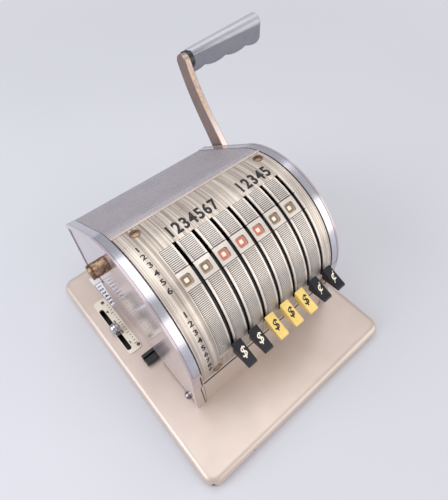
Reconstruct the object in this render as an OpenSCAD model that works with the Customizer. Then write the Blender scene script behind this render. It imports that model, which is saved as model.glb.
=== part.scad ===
// Check writer: a desk machine that prints an amount on a check.
// X runs to the right, Y to the back and Z up. The origin is the centre of the base's underside.
// Angles round the drum are measured from straight ahead (-Y) upwards.

/* [Base] */
// Width of the base
base_w = 216; // [212:1:240]
// Depth of the base
base_d = 254; // [250:1:290]
// Height of the base
base_h = 14; // [14:0.5:18]
// Corner radius of the base in plan
base_corner_r = 11; // [9:1:20]
// Rounding of the base's top edge
base_edge_r = 6; // [4:0.5:8]
// Thickness of the pressed base
base_sheet = 1.6; // [1:0.1:2]
// Thickness of the bottom plate
bottom_t = 1.6; // [1:0.1:2]
// Radius of a rubber foot
foot_r = 9; // [6:1:12]
// Height of a rubber foot
foot_h = 2; // [1.5:0.1:2.4]
// Distance of a foot from the base's sides
foot_inset = 22; // [18:1:30]
// Radius of a screw boss inside the base
boss_r = 4; // [3.5:0.5:6]
// Distance of a boss from the base's sides
boss_inset = 10; // [9:1:14]

/* [Body] */
// Height of the drum's axis
drum_z = 76.5; // [74:0.5:82]
// Place of the drum's axis from front to back
drum_y = 5.5; // [4:0.5:7]
// Outer radius of the curved face plate
plate_r = 76.5; // [76:0.5:79]
// Thickness of the face plate
plate_t = 1.2; // [0.8:0.1:1.4]
// Left edge of the face plate
plate_x0 = -68; // [-72:0.5:-67]
// Width of the face plate
plate_w = 146.6; // [146:0.2:152]
// Height of the face plate's lower edge
plate_bottom_z = 62; // [58:0.5:66]
// Angle of the face plate's upper edge
plate_top_a = 104; // [102:0.5:106]
// Width of the trim strip at the upper edge
trim_w = 2; // [1:0.1:3]
// How far the trim strip stands proud
trim_proud = 0.7; // [0.3:0.1:1]
// Thickness of the rear cover and the front apron
panel_t = 1.4; // [1:0.1:1.6]
// Slope of the rear top
rear_slope = 33; // [31:0.5:35]
// Place of the rear wall
rear_y = 118; // [115:0.5:122]
// Radius of the rear top corner
rear_corner_r = 9; // [6:0.5:14]
// Height of the groove under the face plate
seam_z = 55; // [50:0.5:57]
// Width of the groove
seam_w = 1.1; // [0.6:0.1:1.5]
// Gap between neighbouring covers
cover_gap = 0.3; // [0.3:0.05:0.5]

/* [Side covers] */
// Width of each side cover
side_w = 8.7; // [8.5:0.1:10]
// Width of the painted rim
rim_w = 1.8; // [1.4:0.1:2.4]
// How far the rim stands above the face plate
rim_proud = 0.5; // [0.3:0.1:0.8]
// Depth of the rim
rim_h = 4.2; // [3.8:0.1:5]
// How far the side wall is set in from the rim
wall_recess = 0.8; // [0.4:0.1:1.2]
// Thickness of the side wall
wall_t = 1.8; // [1.4:0.1:2.2]
// Thickness of the bright band
band_t = 1.6; // [1.2:0.1:1.8]
// Height at which the bright band ends in front
band_end_z = 83; // [76:1:84]
// Height of the throat above the base
throat_h = 5; // [4.8:0.1:6]
// Rear end of the throat
throat_y = -19; // [-20:0.5:-18]

/* [Levers] */
// Number of levers
lever_n = 7; // [7:1:7]
// Distance from lever to lever
lever_pitch = 17; // [16.8:0.1:17.2]
// Place of the first lever
lever_x0 = -35.4; // [-36:0.1:-35]
// Width of a slot in the face plate
slot_w = 3.2; // [2.8:0.1:3.6]
// Angle of the slots' lower ends
slot_a0 = 3; // [1:0.5:4]
// Angle of the slots' upper ends
slot_a1 = 80.5; // [79:0.5:82]
// Angle of a key at nought
key_a = 8.5; // [8:0.25:9]
// Angle from one digit to the next
step_a = 7.5; // [7.5:0.5:7.5]
// Thickness of a segment's plate
web_t = 2; // [1.5:0.1:2.2]
// Radius of the drum shaft
drum_shaft_r = 5; // [4:0.25:6]
// Running clearance of shafts in their bores
run_gap = 0.05; // [0.03:0.01:0.08]
// Radius of a segment's hub
hub_r = 9; // [8:0.5:10]
// Gap between neighbouring hubs
hub_gap = 0.6; // [0.4:0.05:0.8]
// Start of a segment's hub, from the middle of its plate
hub_x0 = -8.7; // [-9:0.1:-8.4]
// Radius of the notched detent plate
detent_r = 30; // [28:0.5:32]
// Radius of a detent notch
notch_r = 1.3; // [1:0.1:1.5]

/* [Windows] */
// Angle of the windows
window_a = 59.3; // [58:0.1:61]
// Distance of a window to the left of its slot
window_dx = 9.1; // [8.9:0.1:9.3]
// Width of a window
window_w = 8.8; // [8:0.1:9]
// Height of a window
window_h = 8.4; // [7.5:0.1:9]
// Corner radius of a window
window_r = 1.8; // [1:0.1:2.5]
// Thickness of the numbered rim that shows in the windows
dial_t = 1.4; // [1:0.1:1.8]
// Gap between the numbered rim and the face plate
dial_gap = 0.5; // [0.4:0.05:0.8]
// How far the numbered rim goes past its window
dial_over = 0.5; // [0.4:0.1:0.9]

/* [Keys] */
// Width of a key cap
key_w = 8.8; // [8:0.1:10]
// Distance of a key cap's middle to the right of its slot
key_dx = 1.6; // [0:0.1:2]
// Length of a key cap
key_len = 18.2; // [17:0.1:20]
// Height of a key cap at its root
key_root_h = 12; // [11:0.1:13]
// Height of a key cap's root above the line through the drum's axis
key_top = 3.3; // [3:0.1:4]
// Height of a key cap at its tip
key_tip_h = 2.4; // [1.8:0.1:3]
// How far the underside droops from root to tip
key_droop = 0.8; // [0.4:0.1:1.2]
// Gap between the key caps and the face plate
key_gap = 2.4; // [1.2:0.1:3]
// Height of the stem that a key cap sits on
stem_h = 3.6; // [3:0.1:3.8]
// Length of stem inside the key cap
stem_in = 6.5; // [5:0.1:7]
// Clearance of the stem in the key cap
stem_gap = 0.05; // [0.03:0.01:0.1]

/* [Type wheels] */
// Module of the gear teeth
gear_m = 2; // [2:0.1:2]
// Teeth of a type wheel's pinion
pinion_n = 10; // [10:1:10]
// Teeth of a segment's gear if it went all the way round
sector_n = 48; // [48:1:48]
// Pressure angle of the teeth
press_a = 25; // [24:0.5:26]
// Play between the teeth
backlash = 0.24; // [0.16:0.02:0.36]
// Angle from straight down to the type shaft, towards the front
mesh_a = 39; // [38.5:0.1:39.5]
// Radius of the type shaft
type_shaft_r = 4; // [3:0.25:5]
// Radius of the printing faces
type_r = 12.6; // [12.4:0.1:12.7]
// Height of a raised type
type_h = 1.2; // [0.8:0.1:1.4]
// Width of the type ring
type_w = 7; // [6:0.1:7.4]
// Width of a pinion
pinion_w = 3.2; // [2.6:0.1:3.6]

/* [Platen and ink] */
// Depth of the platen from front to back
platen_d = 14; // [12:0.5:15]
// Thickness of the platen bar
platen_bar_h = 4; // [3.5:0.1:4.4]
// Thickness of the rubber pad
platen_pad_h = 2.6; // [2:0.1:2.8]
// How far the pad lies below the base's top
platen_sunk = 0.4; // [0.3:0.1:0.8]
// Radius of a guide post
post_r = 2.5; // [2:0.1:3]
// Radius of the ink roller
ink_r = 6; // [5:0.25:6]
// Place of the ink roller
ink_y = -14.5; // [-14.5:0.25:-14]
// Gap between the ink roller and the base
ink_lift = 1; // [0.8:0.1:1.4]
// Radius of the ink roller's shaft
ink_shaft_r = 2.5; // [2:0.1:3]
// Height of the ink yoke's pivot
yoke_z = 60; // [56:1:64]
// Place of the ink yoke's pivot
yoke_y = -12; // [-14:0.5:-10]

/* [Frames] */
// Thickness of a frame plate
frame_t = 2.4; // [2:0.1:3]
// Gap between the covers and the frames' edges
frame_inset = 3.4; // [3:0.1:5]
// Distance of each frame from the face plate's edge
frame_x = 1.6; // [1.2:0.1:2]
// Radius of a tie rod
rod_r = 3; // [2:0.25:3.5]
// Width of a frame's foot
flange_w = 10; // [8.5:0.5:12]
// Radius of a screw's shank
screw_r = 1.5; // [1.2:0.1:1.8]
// Radius of a screw's head
screw_head_r = 4.2; // [3.4:0.1:4.6]
// Height of a screw's head
screw_head_h = 1.4; // [1:0.1:2]

/* [Handle] */
// Place of the handle's pivot from front to back
handle_y = 60; // [58:0.5:62]
// Height of the handle's pivot
handle_z = 54; // [52:0.5:56]
// Length of the arm from its pivot to its top centre
arm_len = 149.8; // [120:0.1:180]
// Lean of the arm to the back at rest
arm_lean = 34.8; // [30:0.1:38]
// Bow of the arm, to the front below its middle and to the back above
arm_bow = 3.7; // [0:0.1:5]
// Thickness of the arm
arm_t = 6.8; // [6:0.1:9]
// Half the arm's width at its pivot
arm_r0 = 14.5; // [12:0.1:15]
// Half the arm's width at its top
arm_r1 = 7.6; // [7.2:0.1:8.4]
// Gap between the side cover and the arm
arm_gap = 2.2; // [1:0.1:4]
// Radius of the handle's shaft
handle_shaft_r = 5; // [4:0.25:6]
// Width of the collar between the arm and the grip
collar_w = 6; // [4:0.1:8]
// Radius of the collar
collar_r = 8.5; // [7:0.1:9]
// Length of the grip
grip_len = 89.7; // [80:0.1:100]
// Thickness of the grip at the collar
grip_t0 = 13; // [12:0.1:14]
// Thickness of the grip at its free end
grip_t1 = 18; // [16:0.1:20]
// Height of the grip at the collar
grip_h0 = 21; // [20:0.1:23]
// Height of the grip at its free end
grip_h1 = 27; // [24:0.1:28]
// Radius of the grip's back at the collar
grip_r0 = 6.5; // [5.5:0.1:7]
// Radius of the grip's back at its free end
grip_r1 = 9; // [7:0.1:9.5]
// Height of the grip's flat front at the collar
grip_flat0 = 17.1; // [15:0.1:18]
// Height of the grip's flat front at its free end
grip_flat1 = 19.1; // [17:0.1:21]
// Thickness of the grip's lower edge
grip_low_t = 9; // [8:0.1:10]
// Radius of the grip's corners at its free end
grip_end_r = 8; // [5:0.1:9]
// Number of finger lobes under the grip
lobe_n = 4; // [3:1:4]
// Distance from lobe to lobe
lobe_pitch = 27.3; // [24:0.1:28]
// Radius of a finger lobe
lobe_r = 36; // [30:1:60]
// Radius of the stud that holds the grip
stud_r = 3; // [2:0.25:3.5]
// Length of the stud in the grip
stud_len = 32; // [20:1:50]
// Radius of the cam at rest
cam_r = 13; // [12.5:0.1:13.5]
// Width of the cam
cam_w = 6; // [4:0.5:7]
// Turn of the handle from rest to print
handle_travel = 60; // [60:1:60]

/* [Left side] */
// Place of the scale plate across the base
scale_x = -95.2; // [-97:0.1:-95]
// Width of the scale plate
scale_w = 14; // [13:0.5:15]
// Front end of the scale plate
scale_y = 9; // [8:0.5:11]
// Length of the scale plate
scale_len = 71; // [68:1:74]
// Thickness of the scale plate
scale_t = 1; // [0.6:0.1:1.4]
// Length of the slider's slot
scale_slot = 56; // [50:1:58]
// Width of the slider's slot
scale_slot_w = 4.8; // [4:0.1:5]
// Radius of the slider's ball
ball_r = 5.2; // [4.5:0.1:6]
// Place of the slider along its slot at rest
ball_y = 39; // [36:1:46]
// Radius of the lock's housing
lock_r = 5.5; // [5:0.1:6.5]
// Place of the lock
lock_y = 28; // [24:0.5:32]
// Height of the lock
lock_z = 127.5; // [124:0.5:129]
// How far the lock stands out
lock_out = 12.5; // [9:0.5:15]
// Radius of the lock's plug
plug_r = 3.9; // [3:0.1:4.1]
// Length of the finger tab
tab_len = 40; // [34:0.5:44]
// Width of the finger tab at its wide end
tab_w0 = 8.6; // [7:0.1:9.4]
// Width of the finger tab at its narrow end
tab_w1 = 4.8; // [3.5:0.1:6]
// Height of the finger tab
tab_z = 40; // [38:0.5:44]
// Width of the release key
release_w = 11; // [9:0.5:12]
// How far the release key stands out
release_out = 12.5; // [10:0.5:15]
// Radius of the guide pin's dome
guide_r = 3.6; // [3:0.1:4]

/* [Hidden] */
$fn = 96;
fine = 160;

paint = "#b9a69c";
bright = "#c9ccd6";
steel = "#8f9299";
cream = "#d9cfb8";
dark = "#23222a";
yellow = "#e6c14a";
brass = "#a9834a";
rubber = "#2b2b2d";

eps = 0.5;
far = 400;

// Places that follow from the driving sizes
plate_x1 = plate_x0 + plate_w;
front_y = drum_y - plate_r;
left_x = plate_x0 - cover_gap - side_w;
right_x = plate_x1 + cover_gap + side_w;
frame_l = plate_x0 + frame_x;
frame_r = plate_x1 - frame_x;
frame_in_l = frame_l + frame_t;
frame_in_r = frame_r - frame_t;
throat_z = base_h + throat_h;
top_under = base_h - base_sheet;
bottom_top = foot_h + bottom_t;
slack = 0.06;

// Gear train
sector_r = gear_m * sector_n / 2;
pinion_r = gear_m * pinion_n / 2;
type_y = drum_y - (sector_r + pinion_r) * sin(mesh_a);
type_z = drum_z - (sector_r + pinion_r) * cos(mesh_a);
sector_add = 0.7 * gear_m;
sector_ded = 1.2 * gear_m;
pinion_add = 0.9 * gear_m;
pinion_ded = 0.9 * gear_m;
travel_a = 9 * step_a;
mesh_th = mesh_a - 90;
gear_a0 = mesh_th - travel_a - 12;
gear_a1 = mesh_th + 12;

// Numbered rim
dial_r1 = plate_r - plate_t - dial_gap;
dial_r0 = dial_r1 - dial_t;
dial_half = 4.5;
dial_a0 = window_a - travel_a - dial_half;
dial_a1 = window_a + dial_half;
dial_x0 = -window_dx - window_w / 2 - dial_over;

// Detent plate behind the drum's axis
detent_at = 180;
detent_a0 = detent_at - travel_a - 6;
detent_a1 = detent_at + 6;

// Ink roller
ink_z = base_h + ink_lift + ink_r;
yoke_t = 2;
yoke_in = 2;

// Platen
platen_x0 = lever_x0 - 10.6;
platen_x1 = lever_x(lever_n - 1) - 0.1;
platen_top = base_h - platen_sunk;
bar_z1 = platen_top - platen_pad_h;
bar_z0 = bar_z1 - platen_bar_h;
post_out = 5.5;
bar_end = 4.5;
post_x = [platen_x0 - post_out, platen_x1 + post_out];

// Tie rods
rods = [[-60, 26], [104, 84], [104, 28], [78, 112]];
spring_rod = 3;

// Plate screws
ear_wall = 2.2;
ear_gap = 0.4;
ear_x = [lever_x0 + dial_x0 - ear_gap, lever_x(lever_n - 1) + web_t / 2 + ear_gap];
screw_x = [ear_x[0] - ear_wall, ear_x[1] + ear_wall];
screw_a = 99;
screw_z = 66;
rear_screw_z = 32;
apron_tab_z = 34;

// Handle
arm_x = right_x + arm_gap;
arm_top_y = handle_y + arm_len * sin(arm_lean);
arm_top_z = handle_z + arm_len * cos(arm_lean);
collar_x = arm_x + arm_t;
grip_x = collar_x + collar_w + slack;
grip_y = arm_top_y - 2;
grip_z = arm_top_z - 13.7;
stud_y = arm_top_y + 3;
stud_z = arm_top_z - 1.5;
cam_x = (lever_x(2) + lever_x(3)) / 2;

// Lift arm
lift_y = 20;
lift_z = 8.5;
lift_pin_r = 2;
lift_w = 9;
lift_x = cam_x - lift_w / 2;
lift_low = bottom_top + 0.5;
pad_gap = 0.6;
cam_rise = 3.55;

// Left side
slot_x = scale_x + 0.6 + scale_slot_w / 2;
slot_y = scale_y + 4.5;
tab_pin_y = 84;
tab_pin_z = tab_z - 3;
tab_pin_r = 2;
release_y = -12;
release_z = base_h + 1.2;
release_stem = 4;
guide_at = [-76.2, -56.8];

function lever_x(i) = lever_x0 + i * lever_pitch;
// Point at radius r and angle a round the drum, relative to its axis
function round_drum(r, a) = [-r * cos(a), r * sin(a)];

// Draws a side view, given in Y and Z, as a plate from x to x + w
module along_x(x, w) {
    translate([x, 0, 0])
        rotate([90, 0, 90])
            linear_extrude(w)
                children();
}

module at_drum() {
    translate([0, drum_y, drum_z])
        children();
}

module ring_sector(r0, r1, a0, a1) {
    intersection() {
        difference() {
            circle(r1, $fn = fine);
            circle(r0, $fn = fine);
        }
        polygon(concat([[0, 0]], [for (k = [3:-1:0]) round_drum(3 * r1, a0 + k * (a1 - a0) / 3)]));
    }
}

// A bar that points outwards at angle a, from r0 to r1, from t0 to t1 across
module radial_bar(r0, r1, t0, t1, a) {
    rotate(180 - a)
        translate([r0, -t1])
            square([r1 - r0, t1 - t0]);
}

// Rounded rectangle about the origin
module rounded(w, d, r) {
    square([w - 2 * r, d], center = true);
    square([w, d - 2 * r], center = true);
    for (x = [-1, 1], y = [-1, 1])
        translate([x * (w / 2 - r), y * (d / 2 - r)])
            circle(r);
}

module slot_2d(x, y0, y1, w) {
    translate([x - w / 2, y0 + w / 2])
        square([w, y1 - y0 - w]);
    translate([x, y0 + w / 2])
        circle(w / 2);
    translate([x, y1 - w / 2])
        circle(w / 2);
}

slope_a = 90 + rear_slope;
corner_y = rear_y - rear_corner_r;
corner_z = drum_z
    + (plate_r - rear_corner_r - sin(rear_slope) * (corner_y - drum_y)) / cos(rear_slope);

// The flats lie this far inside the round parts they run into
nip = 0.12;
front_flat = front_y + nip;

// Side view of the body, set in by d, from the height z0 up
module body_outline(d, z0) {
    r = plate_r - d;
    rc = rear_corner_r - d;
    centre = [drum_y, drum_z];
    corner = [corner_y, corner_z];
    low = z0 - 5;
    intersection() {
        union() {
            translate(centre)
                circle(r, $fn = fine);
            translate(corner)
                circle(rc + nip);
            polygon([
                [rear_y - d, low], [rear_y - d, corner_z], corner + round_drum(rc, slope_a),
                centre + round_drum(r - nip, slope_a), [front_flat + d, drum_z],
                [front_flat + d, low]
            ]);
        }
        translate([-far, z0])
            square([2 * far, far]);
    }
}

// A sheet that follows the body's outline, between the insets d0 and d1
module body_sheet(d0, d1, z0) {
    difference() {
        body_outline(d0, z0);
        body_outline(d1, z0 - eps);
    }
}

// Region in front of the angle a and above z0
module front_region(a, z0) {
    polygon([
        [drum_y, drum_z], [drum_y - far * cos(a), drum_z + far * sin(a)],
        [-far, far], [-far, z0], [drum_y, z0]
    ]);
}

module rear_region(a) {
    polygon([
        [drum_y, drum_z], [drum_y, 0], [far, 0], [far, far],
        [drum_y - far * cos(a), drum_z + far * sin(a)]
    ]);
}

// Slab with rounded corners and a rounded top edge
module slab(w, d, h, rc, re) {
    linear_extrude(h - re)
        rounded(w, d, rc);
    linear_extrude(h)
        rounded(w - 2 * re, d - 2 * re, max(rc - re, 0.5));
    for (x = [-1, 1]) {
        translate([x * (w / 2 - re), 0, h - re])
            rotate([90, 0, 0])
                cylinder(r = re, h = d - 2 * rc, center = true);
        for (y = [-1, 1])
            translate([x * (w / 2 - rc), y * (d / 2 - rc), h - re])
                rotate_extrude() {
                    intersection() {
                        translate([rc - re, 0])
                            circle(re);
                        square([rc, re]);
                    }
                    square([rc - re, re]);
                }
    }
    for (y = [-1, 1])
        translate([0, y * (d / 2 - re), h - re])
            rotate([0, 90, 0])
                cylinder(r = re, h = w - 2 * rc, center = true);
}

module screw(head_r, length) {
    intersection() {
        cylinder(r = head_r, h = screw_head_h);
        translate([0, 0, screw_head_h - 2.5 * head_r])
            sphere(2.5 * head_r);
    }
    translate([0, 0, -length])
        cylinder(r = screw_r, h = length + eps / 2);
}

// A screw head with its driver slot
module slotted_screw(head_r, length) {
    difference() {
        screw(head_r, length);
        translate([-head_r, -0.5, screw_head_h - 0.7])
            cube([2 * head_r, 1, 2]);
    }
}

// ---- Base ----

module boss_places() {
    for (x = [-1, 1], y = [-1, 1])
        translate([x * (base_w / 2 - boss_inset - base_sheet), y * (base_d / 2 - boss_inset - base_sheet), 0])
            children();
}

flange_y = [[1, 17], [86, 112]];
flange_screw_x = [frame_in_l + flange_w / 2, frame_in_r - flange_w / 2];
flange_screw_y = [for (f = flange_y) (f[0] + f[1]) / 2];

module flange_screw_places() {
    for (x = flange_screw_x, y = flange_screw_y)
        translate([x, y, 0])
            children();
}

module base_shell() {
    color(paint)
    difference() {
        union() {
            difference() {
                slab(base_w, base_d, base_h, base_corner_r, base_edge_r);
                translate([0, 0, -base_sheet])
                    slab(base_w - 2 * base_sheet, base_d - 2 * base_sheet, base_h,
                        base_corner_r - base_sheet, base_edge_r - base_sheet);
            }
            boss_places()
                translate([0, 0, bottom_top])
                    cylinder(r = boss_r, h = top_under - bottom_top + base_sheet / 2);
        }
        boss_places()
            translate([0, 0, bottom_top - eps])
                cylinder(r = screw_r + slack, h = 7);
        flange_screw_places()
            translate([0, 0, top_under - eps])
                cylinder(r = screw_r + slack, h = base_sheet + 2 * eps);
        // opening over the platen
        translate([post_x[0] - bar_end - 1, type_y - platen_d / 2 - 1, top_under - eps])
            cube([post_x[1] - post_x[0] + 2 * bar_end + 2, platen_d + 2, base_sheet + 2 * eps]);
        // opening over the lift arm
        translate([lift_x - 6, 30, top_under - eps])
            cube([lift_w + 12, 46, base_sheet + 2 * eps]);
        // slot under the scale plate
        translate([0, 0, top_under - eps])
            linear_extrude(base_sheet + 2 * eps)
                slot_2d(slot_x, slot_y, slot_y + scale_slot, scale_slot_w);
        rivet_places()
            translate([0, 0, top_under - eps])
                cylinder(r = rivet_r + slack, h = base_sheet + 2 * eps);
        translate([guide_at[0], guide_at[1], top_under - eps])
            cylinder(r = screw_r + slack, h = base_sheet + 2 * eps);
    }
}

module bottom_plate() {
    gap = 0.4;
    ear_t = 2.6;
    ear_r = 3;
    color(steel)
    difference() {
        union() {
            translate([0, 0, foot_h])
                linear_extrude(bottom_t)
                    rounded(base_w - 2 * (base_sheet + gap), base_d - 2 * (base_sheet + gap),
                        base_corner_r - base_sheet - gap);
            // ears and pin of the lift arm
            for (x = [lift_x - cover_gap - ear_t, lift_x + lift_w + cover_gap])
                along_x(x, ear_t) {
                    translate([lift_y, lift_z])
                        circle(ear_r);
                    translate([lift_y - ear_r, bottom_top - eps])
                        square([2 * ear_r, lift_z - bottom_top + eps]);
                }
            along_x(lift_x - cover_gap - ear_t, lift_w + 2 * (cover_gap + ear_t))
                translate([lift_y, lift_z])
                    circle(lift_pin_r);
        }
        boss_places()
            translate([0, 0, foot_h - eps])
                cylinder(r = screw_r + slack, h = bottom_t + 2 * eps);
        for (x = post_x)
            translate([x, type_y, foot_h - eps])
                cylinder(r = post_r, h = bottom_t + 2 * eps);
    }
}

module rubber_feet() {
    color(rubber)
    for (x = [-1, 1], y = [-1, 1])
        translate([x * (base_w / 2 - foot_inset), y * (base_d / 2 - foot_inset), 0])
            cylinder(r = foot_r, h = foot_h);
}

module machine_screws() {
    base_head_h = 1.2;
    color(steel) {
        boss_places() {
            translate([0, 0, foot_h - base_head_h])
                cylinder(r = screw_r * 2, h = base_head_h);
            translate([0, 0, foot_h - eps])
                cylinder(r = screw_r, h = 7);
        }
        flange_screw_places()
            translate([0, 0, base_h + frame_t])
                slotted_screw(2 * screw_r, frame_t + base_sheet + 3);
    }
}

// ---- Frames ----

// Block that a cover screw goes into, x0 to x1
module ear_blocks(x0, x1) {
    ear_depth = 4.4;
    ear_half = 5;
    w = x1 - x0;
    at_drum()
        along_x(x0, w)
            intersection() {
                ring_sector(plate_r - plate_t - ear_depth, plate_r - plate_t - slack,
                    screw_a - 8, screw_a + 8);
                radial_bar(0, plate_r, -ear_half, ear_half, screw_a);
            }
    translate([x0, front_flat + max(plate_t, panel_t) + slack, screw_z - ear_half])
        cube([w, ear_depth, 2 * ear_half]);
    translate([x0, rear_y - panel_t - ear_depth, rear_screw_z - ear_half])
        cube([w, ear_depth, 2 * ear_half]);
    translate([x0, front_flat + panel_t + slack, apron_tab_z - ear_half])
        cube([w, ear_depth, 2 * ear_half]);
}

module screw_holes(x, r, depth) {
    at_drum()
        translate([x, 0, 0])
            rotate([90 - screw_a, 0, 0])
                translate([0, 0, plate_r - depth])
                    cylinder(r = r, h = depth + eps);
    translate([x, front_y - eps, screw_z])
        rotate([-90, 0, 0])
            cylinder(r = r, h = depth + eps);
    translate([x, rear_y + eps, rear_screw_z])
        rotate([90, 0, 0])
            cylinder(r = r, h = depth + eps);
}

module frame_plate_2d() {
    difference() {
        body_outline(frame_inset, base_h);
        translate([-far, 0])
            square([far + throat_y + 1, throat_z + 0.6]);
        // windows that lighten the plate
        translate([34, 112])
            circle(12);
        translate([84, 70])
            circle(11);
        translate([-36, 92])
            circle(13);
        translate([36, 34])
            circle(9);
    }
}

module frame_bores(x) {
    at_drum()
        translate([x, 0, 0])
            rotate([0, 90, 0])
                cylinder(r = drum_shaft_r + run_gap, h = 6, center = true);
    for (p = [
        [type_y, type_z, type_shaft_r + run_gap],
        [handle_y, handle_z, handle_shaft_r + run_gap],
        [yoke_y, yoke_z, 3 + run_gap],
        [rods[0][0], rods[0][1], rod_r + run_gap], [rods[1][0], rods[1][1], rod_r + run_gap],
        [rods[2][0], rods[2][1], rod_r + run_gap], [rods[3][0], rods[3][1], rod_r + run_gap]
    ])
        translate([x, p[0], p[1]])
            rotate([0, 90, 0])
                cylinder(r = p[2], h = 6, center = true);
}

// One frame: its plate from x, its feet and ears from fx0 to fx1 and ex0 to ex1
module frame(x, fx0, ex0, ex1, sx) {
    color(steel)
    difference() {
        union() {
            along_x(x, frame_t)
                frame_plate_2d();
            for (f = flange_y)
                translate([fx0, f[0], base_h])
                    cube([flange_w + eps, f[1] - f[0], frame_t]);
            ear_blocks(ex0, ex1);
        }
        frame_bores(x + frame_t / 2);
        screw_holes(sx, screw_r + slack, 6);
        flange_screw_places()
            translate([0, 0, base_h - eps])
                cylinder(r = screw_r + slack, h = frame_t + 2 * eps);
    }
}

module frame_left() {
    frame(frame_l, frame_in_l - eps, frame_in_l - eps, ear_x[0], screw_x[0]);
}

module frame_right() {
    frame(frame_in_r, frame_in_r - flange_w, ear_x[1], frame_in_r + eps, screw_x[1]);
}

module shaft_between(y, z, r) {
    translate([frame_l, y, z])
        rotate([0, 90, 0])
            cylinder(r = r, h = frame_r - frame_l);
}

module tie_rods() {
    color(steel)
    for (p = rods)
        shaft_between(p[0], p[1], rod_r);
}

module drum_shaft() {
    color(steel)
        shaft_between(drum_y, drum_z, drum_shaft_r);
}

module type_shaft() {
    color(steel)
        shaft_between(type_y, type_z, type_shaft_r);
}

// ---- Covers ----

module face_plate() {
    color(cream)
    difference() {
        along_x(plate_x0, plate_w)
            intersection() {
                body_sheet(0, plate_t, base_h);
                front_region(plate_top_a, plate_bottom_z);
            }
        at_drum()
            for (i = [0:lever_n - 1]) {
                along_x(lever_x(i) - slot_w / 2, slot_w)
                    ring_sector(plate_r - 4, plate_r + 2, slot_a0, slot_a1);
                translate([lever_x(i) - window_dx, 0, 0])
                    rotate([90 - window_a, 0, 0])
                        translate([0, 0, plate_r - 4])
                            linear_extrude(6)
                                rounded(window_w, window_h, window_r);
            }
        for (x = screw_x)
            screw_holes(x, screw_r + slack, 4);
    }
}

module cover_screws() {
    color("#8d7a63")
    for (x = screw_x) {
        at_drum()
            translate([x, 0, 0])
                rotate([90 - screw_a, 0, 0])
                    translate([0, 0, plate_r + slack])
                        slotted_screw(screw_head_r, 5);
        translate([x, front_flat - slack, screw_z])
            rotate([90, 0, 0])
                slotted_screw(screw_head_r, 5);
        translate([x, rear_y + slack, rear_screw_z])
            rotate([-90, 0, 0])
                slotted_screw(screw_head_r, 5);
    }
}

trim_a = trim_w / plate_r * 180 / PI;

module top_trim() {
    color("#e7dccb")
    at_drum()
        along_x(plate_x0, plate_w)
            ring_sector(plate_r - plate_t, plate_r + trim_proud,
                plate_top_a + 0.15, plate_top_a + 0.15 + trim_a);
}

module rear_cover() {
    color("#a59f9f")
    difference() {
        along_x(plate_x0, plate_w)
            intersection() {
                body_sheet(0, panel_t, base_h);
                rear_region(plate_top_a + 0.3 + trim_a);
            }
        for (x = screw_x)
            screw_holes(x, screw_r + slack, 4);
    }
}

module front_apron() {
    groove = 0.8;
    color(paint)
    difference() {
        translate([plate_x0, front_flat, base_h])
            cube([plate_w, panel_t, plate_bottom_z - cover_gap - base_h]);
        translate([plate_x0 + 2, front_flat - eps, seam_z - seam_w / 2])
            cube([plate_w, groove + eps, seam_w]);
        translate([plate_x0 - eps, front_flat - eps, base_h - eps])
            cube([1.2 + eps, panel_t + 2 * eps, seam_z - base_h - 3]);
    }
}

// Cover with its outer face at x, built to the right; s is 1 on the left and -1 on the right
module side_cover(x, s) {
    in_w = side_w - rim_w;
    translate([x, 0, 0])
        mirror([s < 0 ? 1 : 0, 0, 0]) {
            along_x(0, rim_w)
                body_sheet(-rim_proud, rim_h - rim_proud, base_h);
            along_x(wall_recess, wall_t)
                body_outline(rim_h - rim_proud - 1, base_h);
            // ledge under the bright band
            along_x(rim_w - eps, in_w + eps)
                body_sheet(band_t + cover_gap / 2, rim_h - rim_proud, base_h);
            // painted corner below the band's front end
            along_x(rim_w - eps, in_w + eps)
                intersection() {
                    body_sheet(-rim_proud, rim_h - rim_proud, base_h);
                    translate([-far, 0])
                        square([far, band_end_z - cover_gap]);
                }
        }
}

module throat_cut() {
    translate([-far, front_y + rim_h + 1, base_h - eps])
        cube([2 * far, throat_y - front_y - rim_h - 1, throat_h + eps]);
}

module side_cover_left() {
    color(paint)
    difference() {
        side_cover(left_x, 1);
        throat_cut();
        translate([left_x - eps, lock_y, lock_z])
            rotate([0, 90, 0])
                cylinder(r = lock_r - 0.8 + slack, h = 6);
        translate([left_x - eps, tab_pin_y, tab_pin_z])
            rotate([0, 90, 0])
                cylinder(r = tab_pin_r + slack, h = 6);
        translate([left_x - eps, release_y - 0.5, base_h - eps])
            cube([6, release_w + 1, 8]);
    }
}

module side_cover_right() {
    color(paint)
    difference() {
        union() {
            side_cover(right_x, -1);
            translate([right_x - wall_recess - wall_t - 3, handle_y, handle_z])
                rotate([0, 90, 0])
                    cylinder(r = handle_shaft_r + 5, h = wall_t + 4);
        }
        throat_cut();
        translate([right_x - 8, handle_y, handle_z])
            rotate([0, 90, 0])
                cylinder(r = handle_shaft_r + run_gap, h = 12);
    }
}

module side_band(x) {
    color(bright)
    along_x(x, side_w - rim_w - 0.6)
        difference() {
            body_sheet(-rim_proud + 0.2, band_t, base_h);
            translate([-far, 0])
                square([far, band_end_z]);
            translate([0, 0])
                square([far, base_h + 3]);
        }
}

module side_band_left() {
    side_band(left_x + rim_w + cover_gap);
}

module side_band_right() {
    side_band(plate_x1 + cover_gap + 0.3);
}

// ---- Left side of the base ----

rivet_r = 1.2;

module rivet_places() {
    translate([scale_x + scale_w - 2.2, scale_y + 4, 0])
        children();
    translate([scale_x + scale_w - 5.2, scale_y + scale_len - 4.6, 0])
        children();
}

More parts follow.
